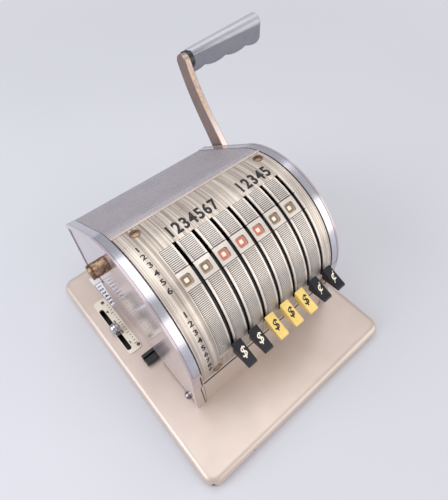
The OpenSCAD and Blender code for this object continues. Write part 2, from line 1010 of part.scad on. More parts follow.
module scale_plate() {
    color("#e6e0cf")
    difference() {
        translate([scale_x + scale_w / 2, scale_y + scale_len / 2, base_h])
            linear_extrude(scale_t)
                rounded(scale_w, scale_len, 3.4);
        translate([0, 0, base_h - eps])
            linear_extrude(scale_t + 2 * eps)
                slot_2d(slot_x, slot_y, slot_y + scale_slot, scale_slot_w);
        rivet_places()
            translate([0, 0, base_h - eps])
                cylinder(r = rivet_r + slack, h = scale_t + 2 * eps);
    }
}

module scale_rivets() {
    color("#6f675c")
    rivet_places() {
        translate([0, 0, base_h + scale_t])
            intersection() {
                cylinder(r = 1.8, h = 0.8);
                translate([0, 0, -2.2])
                    sphere(3);
            }
        translate([0, 0, top_under - 0.6])
            cylinder(r = rivet_r, h = base_sheet + scale_t + 1);
    }
}

module gauge_slider() {
    neck_r = scale_slot_w / 2 - 0.2;
    foot_gap = 0.3;
    color(bright)
    translate([slot_x, ball_y, 0]) {
        translate([0, 0, base_h + scale_t + ball_r + 0.6])
            sphere(ball_r);
        translate([0, 0, top_under - 3])
            cylinder(r = neck_r, h = base_sheet + scale_t + 5);
        translate([0, 0, top_under - foot_gap - 2.4])
            cylinder(r = 4.4, h = 2.4);
    }
}

module guide_pin() {
    color(bright)
    translate([guide_at[0], guide_at[1], 0]) {
        translate([0, 0, base_h])
            intersection() {
                sphere(guide_r + 0.2);
                cylinder(r = guide_r, h = guide_r + 1);
            }
        translate([0, 0, top_under - 2])
            cylinder(r = screw_r, h = base_sheet + 3);
    }
}

module lock_cylinder() {
    face = left_x + wall_recess;
    color(brass)
    translate([face, lock_y, lock_z])
        rotate([0, 90, 0])
            difference() {
                union() {
                    translate([0, 0, -lock_out])
                        cylinder(r = lock_r, h = lock_out);
                    translate([0, 0, -lock_out])
                        cylinder(r = lock_r + 0.5, h = 1.6);
                    translate([0, 0, -eps])
                        cylinder(r = lock_r - 0.8, h = wall_t + 3);
                    translate([0, 0, wall_t])
                        cylinder(r = lock_r + 1, h = 2);
                }
                translate([0, 0, -lock_out - eps])
                    cylinder(r = plug_r + run_gap, h = lock_out + wall_t + 5);
            }
}

module lock_plug() {
    face = left_x + wall_recess;
    color(bright)
    translate([face, lock_y, lock_z])
        rotate([0, 90, 0])
            difference() {
                union() {
                    translate([0, 0, -lock_out - 0.4])
                        cylinder(r = plug_r, h = lock_out + wall_t + 4);
                    translate([-plug_r, -1.5, wall_t + 3.4])
                        cube([plug_r + 7, 3, 1.2]);
                }
                translate([-2.6, -0.6, -lock_out - 1])
                    cube([5.2, 1.2, 7]);
            }
}

// Flat tab that swings on a pin in the left side cover
module finger_tab() {
    t = 1.6;
    x1 = left_x + wall_recess - 0.5;
    y1 = tab_pin_y + 4;
    fold = 8;
    color(bright) {
        translate([0, 0, tab_z])
            linear_extrude(t)
                polygon([
                    [x1, y1 - fold], [x1 - tab_w0, y1 - fold],
                    [x1 - tab_w0 + 0.9, y1 - tab_len], [x1 - tab_w0 + 0.9 + tab_w1, y1 - tab_len]
                ]);
        along_x(x1 - tab_w0, tab_w0)
            polygon([
                [y1 - fold - 0.2, tab_z], [y1 - fold - 0.2, tab_z + t],
                [y1, tab_z + t + 2.6], [y1 + 0.6, tab_z + 2.6 + t / 2], [y1 + 0.4, tab_z + 2.6]
            ]);
        along_x(x1 - t, t) {
            translate([tab_pin_y, tab_pin_z])
                circle(3.6);
            translate([tab_pin_y - 4, tab_pin_z])
                square([8, tab_z - tab_pin_z + 1]);
        }
        translate([x1 - t, tab_pin_y, tab_pin_z])
            rotate([0, 90, 0])
                cylinder(r = tab_pin_r, h = wall_t + t + 3);
    }
}

module release_key() {
    x0 = left_x + wall_recess - release_out;
    cap_h = 5.4;
    color(dark) {
        translate([0, release_y + release_w, 0])
            rotate([90, 0, 0])
                linear_extrude(release_w)
                    polygon([
                        [x0, release_z], [x0, release_z + 2.2], [x0 + 4, release_z + cap_h - 0.6],
                        [x0 + release_out + 1, release_z + cap_h], [x0 + release_out + 1, release_z]
                    ]);
        translate([x0 + release_out, release_y + 3, release_z + 0.4])
            cube([release_stem, release_w - 6, 3]);
    }
}

// ---- Levers ----

function inv_deg(a) = tan(a) * 180 / PI - a;
// Half the angle that a tooth takes up at radius r
function tooth_half(n, m, r) =
    let (rp = n * m / 2, rb = rp * cos(press_a), q = max(r, rb))
    90 / n - backlash / 4 / rp * 180 / PI + inv_deg(press_a) - inv_deg(acos(min(1, rb / q)));

module tooth(n, m, add, ded) {
    rp = n * m / 2;
    rb = rp * cos(press_a);
    r0 = rp - ded - 0.4;
    rs = max(rp - ded, rb);
    steps = 5;
    radii = concat([r0], [for (k = [0:steps]) rs + k * (rp + add - rs) / steps]);
    low = [for (r = radii) r * [cos(tooth_half(n, m, r)), -sin(tooth_half(n, m, r))]];
    high = [for (k = [len(radii) - 1:-1:0]) [low[k][0], -low[k][1]]];
    polygon(concat(low, high));
}

module sector_2d() {
    root_r = sector_r - sector_ded;
    difference() {
        ring_sector(hub_r, root_r, gear_a0, gear_a1);
        ring_sector(24, root_r - 7, gear_a0 + 10, (gear_a0 + gear_a1) / 2 - 5);
        ring_sector(24, root_r - 7, (gear_a0 + gear_a1) / 2 + 5, gear_a1 - 10);
    }
    for (a = [mesh_th + step_a:-step_a:mesh_th - travel_a - step_a])
        rotate(180 - a)
            tooth(sector_n, gear_m, sector_add, sector_ded);
}

module detent_2d() {
    difference() {
        ring_sector(hub_r, detent_r, detent_a0, detent_a1);
        for (k = [0:9])
            translate(round_drum(detent_r + notch_r / 3, detent_at - k * step_a))
                circle(notch_r, $fn = 32);
    }
}

module web_2d() {
    spoke = 3;
    circle(hub_r + 5);
    sector_2d();
    detent_2d();
    ring_sector(dial_r0 - 5, dial_r1, dial_a0, dial_a1);
    for (a = [dial_a0 + 4, key_a, (key_a + dial_a1) / 2, dial_a1 - 4])
        radial_bar(hub_r, dial_r0 - 3, -spoke, spoke, a);
    radial_bar(dial_r0 - 3, plate_r + key_gap + stem_in, stem_t0, stem_t0 + stem_h, key_a);
}

stem_t0 = -6.2;

module segment(i) {
    color("#c9c4ba")
    at_drum()
        translate([lever_x(i), 0, 0])
            difference() {
                union() {
                    along_x(-web_t / 2, web_t)
                        web_2d();
                    along_x(dial_x0, -dial_x0)
                        ring_sector(dial_r0, dial_r1, dial_a0, dial_a1);
                    translate([hub_x0, 0, 0])
                        rotate([0, 90, 0])
                            cylinder(r = hub_r, h = lever_pitch - hub_gap);
                }
                translate([-lever_pitch, 0, 0])
                    rotate([0, 90, 0])
                        cylinder(r = drum_shaft_r + run_gap, h = 2 * lever_pitch);
            }
}

// Key cap: wedge with a socket for the stem
module key_cap(i) {
    r0 = plate_r + key_gap;
    low = key_top - key_root_h;
    tip_low = low - key_droop;
    color(i == 2 || i == 3 || i == 4 ? yellow : dark)
    at_drum()
        difference() {
            along_x(lever_x(i) + key_dx - key_w / 2, key_w)
                rotate(180 - key_a)
                    mirror([0, 1])
                        polygon([
                            [r0, low], [r0 + key_len + 0.2, tip_low],
                            [r0 + key_len, tip_low + key_tip_h], [r0 + 0.1, key_top]
                        ]);
            along_x(lever_x(i) - web_t / 2 - stem_gap, web_t + 2 * stem_gap)
                radial_bar(r0 - eps, r0 + stem_in + stem_gap, stem_t0 - stem_gap,
                    stem_t0 + stem_h + stem_gap, key_a);
        }
}

module type_wheel(i) {
    flat_r = type_r - type_h;
    x0 = -pinion_w / 2 - type_w;
    x1 = (lever_pitch - hub_gap) + x0;
    type_d = 4;
    color("#9a8f7a")
    translate([lever_x(i), type_y, type_z])
        difference() {
            union() {
                along_x(-pinion_w / 2, pinion_w) {
                    circle(pinion_r - pinion_ded);
                    for (k = [0:pinion_n - 1])
                        rotate(90 - mesh_a + (k + 0.5) * 360 / pinion_n)
                            tooth(pinion_n, gear_m, pinion_add, pinion_ded);
                }
                along_x(x0, type_w)
                    circle(flat_r);
                for (k = [0:pinion_n - 1])
                    rotate([k * 360 / pinion_n, 0, 0])
                        translate([x0 + 0.5, -type_d / 2, -type_r])
                            cube([type_w - 1, type_d, type_h + 0.5]);
                along_x(x0, x1 - x0)
                    circle(type_shaft_r + 2);
            }
            translate([-lever_pitch, 0, 0])
                rotate([0, 90, 0])
                    cylinder(r = type_shaft_r + run_gap, h = 2 * lever_pitch);
        }
}

// Leaf springs that drop into the detent notches, on the upper rear rod
module detent_springs() {
    leaf_t = 0.6;
    leaf_w = 5;
    clip_r = rod_r + 1.6;
    rod = rods[spring_rod];
    tip = [drum_y + detent_r + 0.5, drum_z];
    color(steel)
    for (i = [0:lever_n - 1])
        difference() {
            along_x(lever_x(i) - leaf_w / 2, leaf_w) {
                translate(rod)
                    circle(clip_r);
                polygon([
                    [rod[0] - clip_r + 0.2, rod[1] + 1], [rod[0] - clip_r + 1.2, rod[1] - 2],
                    [tip[0] + 3 + leaf_t, tip[1] + 7], [tip[0] + leaf_t, tip[1]],
                    [tip[0] + 2.5 + leaf_t, tip[1] - 5], [tip[0] + 2.5, tip[1] - 5],
                    tip, [tip[0] + 3 - leaf_t, tip[1] + 7.4]
                ]);
            }
            translate([lever_x(i) - leaf_w, rod[0], rod[1]])
                rotate([0, 90, 0])
                    cylinder(r = rod_r + run_gap, h = 2 * leaf_w);
        }
}

// ---- Platen, lift arm and ink ----

module platen_bar() {
    color(steel)
    difference() {
        translate([post_x[0] - bar_end, type_y - platen_d / 2, bar_z0])
            cube([post_x[1] - post_x[0] + 2 * bar_end, platen_d, platen_bar_h]);
        for (x = post_x)
            translate([x, type_y, bar_z0 - eps])
                cylinder(r = post_r + run_gap, h = platen_bar_h + 2 * eps);
    }
}

module platen_pad() {
    color(rubber)
    translate([platen_x0, type_y - platen_d / 2 + 1, bar_z1])
        cube([platen_x1 - platen_x0, platen_d - 2, platen_pad_h]);
}

module platen_posts() {
    color(steel)
    for (x = post_x)
        translate([x, type_y, foot_h])
            cylinder(r = post_r, h = base_h - foot_h - 0.6);
}

module lift_arm() {
    pad_z = handle_z - cam_r - pad_gap;
    pad_half = 3;
    bar_t = 2.6;
    color(steel)
    difference() {
        along_x(lift_x, lift_w) {
            translate([lift_y, lift_z])
                circle(3.6);
            translate([type_y - 2, lift_low])
                square([lift_y - type_y + 2, bar_z0 - pad_gap - lift_low]);
            polygon([
                [lift_y, lift_z - 2.6], [handle_y - 2, base_h - 2],
                [handle_y + 1.5, base_h], [handle_y + 1.5, base_h + bar_t],
                [handle_y - 4, base_h + bar_t], [lift_y, lift_z + 1.6]
            ]);
            translate([handle_y - 1.5, base_h])
                square([3, pad_z - base_h]);
            translate([handle_y - pad_half, pad_z - 2])
                square([2 * pad_half, 2]);
        }
        translate([lift_x - eps, lift_y, lift_z])
            rotate([0, 90, 0])
                cylinder(r = lift_pin_r + run_gap, h = lift_w + 2 * eps);
    }
}

module ink_yoke() {
    arm_x0 = frame_in_l + yoke_in;
    arm_x1 = frame_in_r - 1.1 - yoke_t;
    eye = 4;
    pin_r = 3;
    color(steel) {
        for (x = [arm_x0, arm_x1])
            along_x(x, yoke_t) {
                translate([yoke_y, yoke_z])
                    circle(5);
                translate([ink_y, ink_z])
                    circle(eye);
                polygon([
                    [yoke_y - 4, yoke_z], [yoke_y + 4, yoke_z],
                    [ink_y + 3, ink_z], [ink_y - 3, ink_z]
                ]);
            }
        translate([frame_l + 0.2, yoke_y, yoke_z])
            rotate([0, 90, 0])
                cylinder(r = pin_r, h = arm_x0 - frame_l);
        translate([arm_x1, yoke_y, yoke_z])
            rotate([0, 90, 0])
                cylinder(r = pin_r, h = frame_r - arm_x1 - 0.2);
        translate([arm_x0, ink_y, ink_z])
            rotate([0, 90, 0])
                cylinder(r = ink_shaft_r, h = arm_x1 - arm_x0 + yoke_t);
    }
}

module ink_roller() {
    color("#2b2440")
    translate([platen_x0 - 0.5, ink_y, ink_z])
        rotate([0, 90, 0])
            difference() {
                cylinder(r = ink_r, h = platen_x1 - platen_x0 + 1.5);
                translate([0, 0, -eps])
                    cylinder(r = ink_shaft_r + run_gap, h = platen_x1 - platen_x0 + 1.5 + 2 * eps);
            }
}

// ---- Handle ----

module handle_shaft() {
    washer_w = 2.5;
    color(steel)
    translate([0, handle_y, handle_z])
        rotate([0, 90, 0]) {
            translate([0, 0, frame_l])
                cylinder(r = handle_shaft_r, h = collar_x - frame_l + eps);
            translate([0, 0, collar_x])
                cylinder(r = handle_shaft_r + 3, h = washer_w);
        }
}

module handle_cam() {
    rise_per_deg = cam_rise / handle_travel;
    past = 12;
    color(steel)
    translate([cam_x - cam_w / 2, handle_y, handle_z])
        difference() {
            rotate([90, 0, 90])
                linear_extrude(cam_w) {
                    circle(cam_r - 3);
                    polygon(concat(
                        [[0, 0]],
                        [for (p = [270 - handle_travel - past:3:270 + past])
                            (cam_r + rise_per_deg * max(0, 270 - p)) * [cos(p), sin(p)]]
                    ));
                }
            translate([-eps, 0, 0])
                rotate([0, 90, 0])
                    cylinder(r = handle_shaft_r + slack, h = cam_w + 2 * eps);
        }
}

// Middle line of the arm, and half its width, at the share t of its length
function arm_mid(t) = [arm_len * t, arm_bow * t * sin(360 * t)];
function arm_half(t) = arm_r1 + (arm_r0 - arm_r1) * (1 - t) * (1 - t) - nip;

module handle_arm() {
    steps = 24;
    color("#7d6a60")
    difference() {
        union() {
            along_x(arm_x, arm_t)
                translate([handle_y, handle_z])
                    rotate(90 - arm_lean) {
                        circle(arm_r0);
                        translate([arm_len, 0])
                            circle(arm_r1);
                        polygon(concat(
                            [for (k = [0:steps]) arm_mid(k / steps) - [0, arm_half(k / steps)]],
                            [for (k = [steps:-1:0]) arm_mid(k / steps) + [0, arm_half(k / steps)]]
                        ));
                    }
            translate([collar_x - eps, stud_y, stud_z])
                rotate([0, 90, 0])
                    cylinder(r = stud_r, h = collar_w + stud_len + eps);
        }
        translate([arm_x - eps, handle_y, handle_z])
            rotate([0, 90, 0])
                cylinder(r = handle_shaft_r + slack, h = arm_t + 2 * eps);
    }
}

module grip_collar() {
    color(dark)
    translate([collar_x, stud_y, stud_z])
        rotate([0, 90, 0])
            difference() {
                cylinder(r = collar_r, h = collar_w);
                translate([0, 0, -eps])
                    cylinder(r = stud_r + run_gap, h = collar_w + 2 * eps);
            }
}

// Section of the grip at x: thickness t, height h, radius r of the back, height flat of the front
module grip_section(x, t, h, r, flat) {
    low_r = grip_low_t / 2;
    thin = 0.05;
    translate([0, grip_y, grip_z])
        along_x(x, thin) {
            translate([t - r, h - r])
                circle(r, $fn = 48);
            translate([grip_low_t - low_r, low_r])
                circle(low_r, $fn = 32);
            translate([0, -2])
                square([0.1, flat + 2]);
        }
}

module handle_grip() {
    end_x = grip_x + grip_len;
    first = end_x - grip_end_r + 0.8;
    color("#8b8c92")
    difference() {
        intersection() {
            hull() {
                grip_section(grip_x, grip_t0, grip_h0, grip_r0, grip_flat0);
                grip_section(end_x - 0.05, grip_t1, grip_h1, grip_r1, grip_flat1);
            }
            // front view with finger lobes and a rounded lower corner
            translate([0, grip_y + far / 2, grip_z])
                rotate([90, 0, 0])
                    linear_extrude(far)
                        intersection() {
                            union() {
                                for (k = [0:lobe_n - 1])
                                    translate([first - k * lobe_pitch, lobe_r])
                                        circle(lobe_r, $fn = fine);
                                translate([grip_x - 1, 3])
                                    square([grip_len + 2, grip_h1]);
                            }
                            grip_end_2d(grip_h1 + 1);
                        }
            // plan view with a rounded back corner
            translate([0, grip_y, 0])
                linear_extrude(far)
                    translate([0, grip_t1])
                        mirror([0, 1])
                            grip_end_2d(grip_t1 + 1);
        }
        translate([grip_x - eps, stud_y, stud_z])
            rotate([0, 90, 0])
                cylinder(r = stud_r + run_gap, h = stud_len + 1);
    }
}

// Strip along the grip, with its lower corner rounded at the free end
module grip_end_2d(high) {
    end_x = grip_x + grip_len;
    r = grip_end_r;
    translate([grip_x, 0])
        square([grip_len - r, high]);
    translate([grip_x, r])
        square([grip_len - nip, high - r]);
    translate([end_x - r, r])
        circle(r);
}

module return_spring() {
    wire = 1;
    turns = 10;
    r = handle_shaft_r + 0.6 + wire;
    color(steel)
    translate([frame_in_l + 0.4, handle_y, handle_z])
        rotate([0, 90, 0])
            rotate_extrude() {
                for (k = [0:turns - 1])
                    translate([r, (k + 0.5) * 1.9 * wire])
                        circle(wire, $fn = 24);
                translate([r - 0.4, wire])
                    square([0.8, (turns - 1) * 1.9 * wire]);
            }
}

base_shell();
bottom_plate();
rubber_feet();
machine_screws();
frame_left();
frame_right();
tie_rods();
drum_shaft();
type_shaft();
face_plate();
cover_screws();
top_trim();
rear_cover();
front_apron();
side_cover_left();
side_cover_right();
side_band_left();
side_band_right();
scale_plate();
scale_rivets();
guide_pin();
lock_cylinder();
platen_posts();
detent_springs();
lock_plug();
finger_tab();
release_key();
gauge_slider();
for (i = [0:lever_n - 1]) {
    segment(i);
    key_cap(i);
    type_wheel(i);
}
platen_bar();
platen_pad();
lift_arm();
ink_yoke();
ink_roller();
handle_shaft();
handle_cam();
handle_arm();
grip_collar();
handle_grip();
return_spring();
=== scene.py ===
"""Looks of a check writer: finishes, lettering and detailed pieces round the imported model.

Metres throughout; sizes are written in millimetres and multiplied by MM.
X runs to the right, Y to the back and Z up, and the origin is the centre of the base's underside.
Angles round the drum are measured from straight ahead (-Y) upwards.
"""
import math

import bmesh
import bpy
import numpy as np
from mathutils import Matrix, Vector


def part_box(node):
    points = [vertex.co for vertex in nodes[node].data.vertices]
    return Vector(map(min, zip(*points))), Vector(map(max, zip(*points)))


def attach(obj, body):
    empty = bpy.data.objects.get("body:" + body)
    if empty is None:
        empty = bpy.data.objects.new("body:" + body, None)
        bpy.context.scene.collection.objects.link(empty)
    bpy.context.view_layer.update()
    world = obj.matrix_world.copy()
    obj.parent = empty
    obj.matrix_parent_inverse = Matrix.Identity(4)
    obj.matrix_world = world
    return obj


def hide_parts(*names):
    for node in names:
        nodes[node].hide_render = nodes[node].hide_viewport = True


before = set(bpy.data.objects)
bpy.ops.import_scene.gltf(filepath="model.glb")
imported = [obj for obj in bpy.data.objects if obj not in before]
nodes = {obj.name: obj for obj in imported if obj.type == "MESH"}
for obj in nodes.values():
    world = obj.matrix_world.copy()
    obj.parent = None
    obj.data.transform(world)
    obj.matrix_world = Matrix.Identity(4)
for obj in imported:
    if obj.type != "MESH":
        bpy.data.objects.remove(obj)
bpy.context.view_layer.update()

MM = 0.001
# Camera of the photograph: its focal length in pixels of an image this high, its place and its axes
IMAGE_H, FOCAL_PX = 500, 408.5
CAMERA_AT = np.array([-120.3, -170.6, 379.6])
CAMERA_LOOK = np.array([0.3758, 0.4703, -0.7985])
CAMERA_RIGHT = np.array([0.7594, -0.6502, -0.0255])

# The drum, its face plate and its levers
DRUM_Y, DRUM_Z = 5.5, 76.5
PLATE_R = 76.5
PLATE_X0, PLATE_X1 = -68.0, 78.6
DIAL_R = 74.8
LEVERS, LEVER_X0, LEVER_PITCH = 7, -35.4, 17.0
STEP = 7.5
SLOT_W, SLOT_LOW = 3.2, 3.0
WINDOW_ANGLE, WINDOW_DX = 59.3, 9.1
PANEL_LOW, PANEL_HIGH = 54.0, 65.0
BLOCK_DX, BLOCK_W, BLOCK_LOW, BLOCK_HIGH = -13.5, 10.5, 5.0, 79.8
HATCH_PITCH = 1.08
# The rear cover
REAR_Y, REAR_SLOPE, REAR_CORNER_R = 118.0, 33.0, 9.0
REAR_TOP_ANGLE, PANEL_T, BASE_H = 105.8, 1.4, 14.0
# The keys
KEY_ANGLE, KEY_W, KEY_DX = 8.5, 8.8, 1.6
KEY_R0, KEY_LEN, KEY_TOP, KEY_ROOT_H, KEY_DROOP, KEY_TIP_H = 78.9, 18.2, 3.3, 12.0, 0.8, 2.4
# The handle's arm and grip, and its pivot
ARM_X, ARM_T, ARM_LEN, ARM_LEAN, ARM_BOW, ARM_R0, ARM_R1 = 89.8, 6.8, 149.8, 34.8, 3.7, 14.5, 7.6
PIVOT_Y, PIVOT_Z = 60.0, 54.0
GRIP_AT, GRIP_LEN = (100.36, 143.49, 163.31), 91.88


# ---- Small tools ----

def srgb(red, green, blue):
    """A colour given as 0 to 255 on screen, as the linear colour that a shader takes."""
    parts = np.array([red, green, blue]) / 255.0
    linear = np.where(parts <= 0.04045, parts / 12.92, ((parts + 0.055) / 1.055) ** 2.4)
    return (*linear.tolist(), 1.0)


def add_piece(name, points, faces, material, smooth=True, sharp=35.0):
    """Makes a mesh piece of points in millimetres and lists of face corners."""
    mesh = bpy.data.meshes.new(name)
    mesh.from_pydata((np.asarray(points, float) * MM).tolist(), [], [list(map(int, f)) for f in faces])
    mesh.materials.append(material)
    mesh.validate()
    piece = bpy.data.objects.new(name, mesh)
    bpy.context.scene.collection.objects.link(piece)
    if smooth:
        mesh.shade_smooth()
        mesh.set_sharp_from_angle(angle=math.radians(sharp))
    return piece


def tidy_normals(piece):
    """Merges doubles and turns the faces outwards."""
    work = bmesh.new()
    work.from_mesh(piece.data)
    bmesh.ops.remove_doubles(work, verts=work.verts, dist=1e-7)
    bmesh.ops.recalc_face_normals(work, faces=work.faces)
    work.to_mesh(piece.data)
    work.free()


def fasten(piece, body, instead_of=()):
    """Lets a piece ride on a body and the nodes that it stands for."""
    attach(piece, body)
    if instead_of:
        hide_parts(*instead_of)


def round_edges(piece, width, segments):
    """Rounds every edge sharper than 30 degrees by a width in millimetres."""
    bevel = piece.modifiers.new("edges", "BEVEL")
    bevel.width = width * MM
    bevel.segments = segments
    bevel.limit_method = "ANGLE"
    bevel.angle_limit = math.radians(30.0)
    bevel.harden_normals = True


def on_drum(x, angle, radius):
    """Points at x, at an angle in degrees round the drum and at a radius from its axis."""
    a = np.radians(angle)
    x, a, radius = np.broadcast_arrays(x, a, radius)
    return np.stack([x, DRUM_Y - radius * np.cos(a), DRUM_Z + radius * np.sin(a)], -1)


def grid_faces(rows, columns, wrap_rows=False, wrap_columns=False):
    """Quads of a grid of rows by columns points, each row's points in sequence."""
    r = np.arange(rows if wrap_rows else rows - 1)
    c = np.arange(columns if wrap_columns else columns - 1)
    r, c = np.meshgrid(r, c, indexing="ij")
    r2, c2 = (r + 1) % rows, (c + 1) % columns
    quads = [r * columns + c, r2 * columns + c, r2 * columns + c2, r * columns + c2]
    return np.stack(quads, -1).reshape(-1, 4)


def plate_along_x(name, outline, x0, x1, material, sharp=35.0):
    """A plate whose side view is an outline of (y, z) points, carried straight from x0 to x1."""
    outline = np.asarray(outline, float)
    count = len(outline)
    near = np.column_stack([np.full(count, x0), outline])
    far = np.column_stack([np.full(count, x1), outline])
    walls = grid_faces(2, count, wrap_columns=True)
    faces = walls.tolist() + [list(range(count)), list(range(2 * count - 1, count - 1, -1))]
    piece = add_piece(name, np.vstack([near, far]), faces, material, sharp=sharp)
    tidy_normals(piece)
    return piece


def arc(centre, radius, start, end, count):
    """Points of an arc round a centre, from one angle in degrees to another."""
    a = np.radians(np.linspace(start, end, count))
    return np.column_stack([centre[0] + radius * np.cos(a), centre[1] + radius * np.sin(a)])


# ---- Finishes ----

class Finish:
    """A material's node tree, with short calls for the nodes that the finishes share."""

    def __init__(self, name):
        self.material = bpy.data.materials.new(name)
        self.material.use_nodes = True
        self.tree = self.material.node_tree
        self.shader = self.tree.nodes["Principled BSDF"]
        self.place = self.node("ShaderNodeTexCoord").outputs["Object"]

    def node(self, kind, **settings):
        made = self.tree.nodes.new(kind)
        for key, value in settings.items():
            setattr(made, key, value)
        return made

    def put(self, value, socket):
        """Joins an output to a socket, or sets the socket to a number or colour."""
        if isinstance(value, bpy.types.NodeSocket):
            self.tree.links.new(value, socket)
        else:
            socket.default_value = value

    def math(self, operation, a, b=0.0):
        made = self.node("ShaderNodeMath", operation=operation)
        self.put(a, made.inputs[0])
        self.put(b, made.inputs[1])
        return made.outputs[0]

    def plus(self, a, b):
        return self.math("ADD", a, b)

    def minus(self, a, b):
        return self.math("SUBTRACT", a, b)

    def times(self, a, b):
        return self.math("MULTIPLY", a, b)

    def between(self, value, low, high):
        """1 where the value lies between low and high, otherwise 0."""
        above = self.math("GREATER_THAN", value, low)
        return self.times(above, self.math("LESS_THAN", value, high))

    def span(self, value, low, high, to_low=0.0, to_high=1.0):
        """The value's way from low to high, clamped and carried to the second pair of numbers."""
        made = self.node("ShaderNodeMapRange")
        self.put(value, made.inputs["Value"])
        for socket, number in zip(("From Min", "From Max", "To Min", "To Max"), (low, high, to_low, to_high)):
            made.inputs[socket].default_value = number
        return made.outputs[0]

    def mix(self, share, a, b):
        """Colour a, with a share of colour b."""
        made = self.node("ShaderNodeMix", data_type="RGBA")
        self.put(share, made.inputs[0])
        self.put(a, made.inputs[6])
        self.put(b, made.inputs[7])
        return made.outputs[2]

    def stretched(self, x, y, z):
        made = self.node("ShaderNodeMapping")
        self.put(self.place, made.inputs["Vector"])
        made.inputs["Scale"].default_value = (x, y, z)
        return made.outputs[0]

    def noise(self, size, detail, rough=0.55, along=(1.0, 1.0, 1.0)):
        """Noise whose features are about size millimetres, longer along an axis with a small factor."""
        made = self.node("ShaderNodeTexNoise")
        self.put(self.stretched(*along), made.inputs["Vector"])
        made.inputs["Scale"].default_value = 1.0 / (size * MM)
        made.inputs["Detail"].default_value = detail
        made.inputs["Roughness"].default_value = rough
        return made.outputs["Fac"]

    def patches(self, size, detail, low=0.0, high=1.0):
        """Noise whose usual range is spread from low to high."""
        return self.span(self.noise(size, detail), 0.3, 0.7, low, high)

    def axes(self):
        """The place in millimetres along X, Y and Z."""
        parts = self.node("ShaderNodeSeparateXYZ")
        self.put(self.place, parts.inputs[0])
        return [self.times(out, 1.0 / MM) for out in parts.outputs]

    def bump(self, height, depth):
        """A bump whose full height is depth millimetres."""
        made = self.node("ShaderNodeBump")
        made.inputs["Strength"].default_value = 1.0
        made.inputs["Distance"].default_value = depth * MM
        self.put(height, made.inputs["Height"])
        return made.outputs[0]

    def finish(self, colour, rough, metal=0.0, normal=None, **fixed):
        """Sets the shader; fixed values go straight on its sockets."""
        self.put(colour, self.shader.inputs["Base Color"])
        self.put(rough, self.shader.inputs["Roughness"])
        self.shader.inputs["Metallic"].default_value = metal
        if normal is not None:
            self.put(normal, self.shader.inputs["Normal"])
        for key, value in fixed.items():
            self.shader.inputs[key.replace("_", " ")].default_value = value
        return self.material


def enamel(name, colour, shade, rough, coat, chips=(), gloss=0.12):
    """Metallic enamel: fine flakes, slow changes of tone, thin grime and any chips. Gloss is the
    roughness of its clear coat."""
    f = Finish(name)
    flakes = f.span(f.noise(0.5, 2.0), 0.35, 0.7)
    tone = f.patches(45.0, 4.0)
    base = f.mix(tone, srgb(*colour), srgb(*shade))
    base = f.mix(f.times(flakes, 0.06), base, srgb(255, 246, 238))
    grime = f.times(f.span(f.noise(26.0, 3.0, 0.5), 0.45, 0.85), 0.10)
    base = f.mix(grime, base, srgb(120, 98, 84))
    roughness = f.patches(30.0, 5.0, rough - 0.03, rough + 0.05)
    normal = f.bump(flakes, 0.0003)
    if chips:
        base = f.mix(chipped(f, chips), base, srgb(58, 46, 42))
    return f.finish(base, roughness, 0.35, normal, Coat_Weight=coat, Coat_Roughness=gloss)


def chipped(f, chips):
    """1 inside any chip of the enamel: ragged spots, each given as its place and radius."""
    x, y, z = f.axes()
    ragged = f.patches(1.5, 4.0, -1.0, 1.0)
    found = None
    for cx, cy, cz, radius in chips:
        parts = [f.math("POWER", f.minus(axis, c), 2.0) for axis, c in ((x, cx), (y, cy), (z, cz))]
        away = f.math("SQRT", f.plus(f.plus(parts[0], parts[1]), parts[2]))
        inside = f.math("LESS_THAN", f.plus(away, ragged), radius)
        found = inside if found is None else f.math("MAXIMUM", found, inside)
    return found


def brushed(name, colour, shade, rough, along=(1.0, 1.0, 1.0), metal=1.0, depth=0.01, spotted=0.35,
            groove_shaded=False):
    """Brushed metal: fine lines along an axis, slow changes of tone and dull spots. A groove-shaded piece
    gets painted shade in its grooves, as its own groove attribute says."""
    f = Finish(name)
    lines = f.noise(1.2, 4.0, 0.65, along)
    tone = f.patches(30.0, 3.0)
    base = f.mix(tone, srgb(*colour), srgb(*shade))
    base = f.mix(f.times(f.span(lines, 0.35, 0.65), 0.3), base, srgb(*shade))
    spots = f.times(f.span(f.noise(5.0, 6.0, 0.7), 0.62, 0.74), spotted)
    base = f.mix(spots, base, srgb(96, 86, 80))
    if groove_shaded:
        # painted shade: the grooves darken towards their bottoms
        groove = f.node("ShaderNodeAttribute", attribute_name="groove").outputs["Fac"]
        base = f.mix(f.times(groove, 0.8), base, srgb(84, 77, 84))
    roughness = f.span(lines, 0.3, 0.7, rough - 0.05, rough + 0.08)
    return f.finish(base, roughness, metal, f.bump(lines, depth))


def moulded(name, colour, shade, rough, coat, worn=None):
    """Moulded plastic: nearly even colour, a faint orange-peel skin and dull rubbed patches."""
    f = Finish(name)
    base = f.mix(f.patches(9.0, 4.0), srgb(*colour), srgb(*shade))
    if worn:
        rub = f.times(f.span(f.noise(4.0, 7.0, 0.7), 0.58, 0.72), 0.4)
        base = f.mix(rub, base, srgb(*worn))
    roughness = f.patches(6.0, 4.0, rough - 0.03, rough + 0.06)
    normal = f.bump(f.noise(1.6, 2.0), 0.003)
    return f.finish(base, roughness, 0.0, normal, Coat_Weight=coat, Coat_Roughness=0.15)


def turned_brass(name):
    """Brass turned on a lathe: rings round X, brown tarnish in patches."""
    f = Finish(name)
    x = f.axes()[0]
    rings = f.math("SINE", f.times(x, 9.0))
    base = f.mix(f.span(f.noise(3.5, 6.0, 0.7), 0.38, 0.62), srgb(190, 160, 134), srgb(104, 78, 60))
    roughness = f.patches(4.0, 5.0, 0.22, 0.45)
    return f.finish(base, roughness, 1.0, f.bump(rings, 0.015))


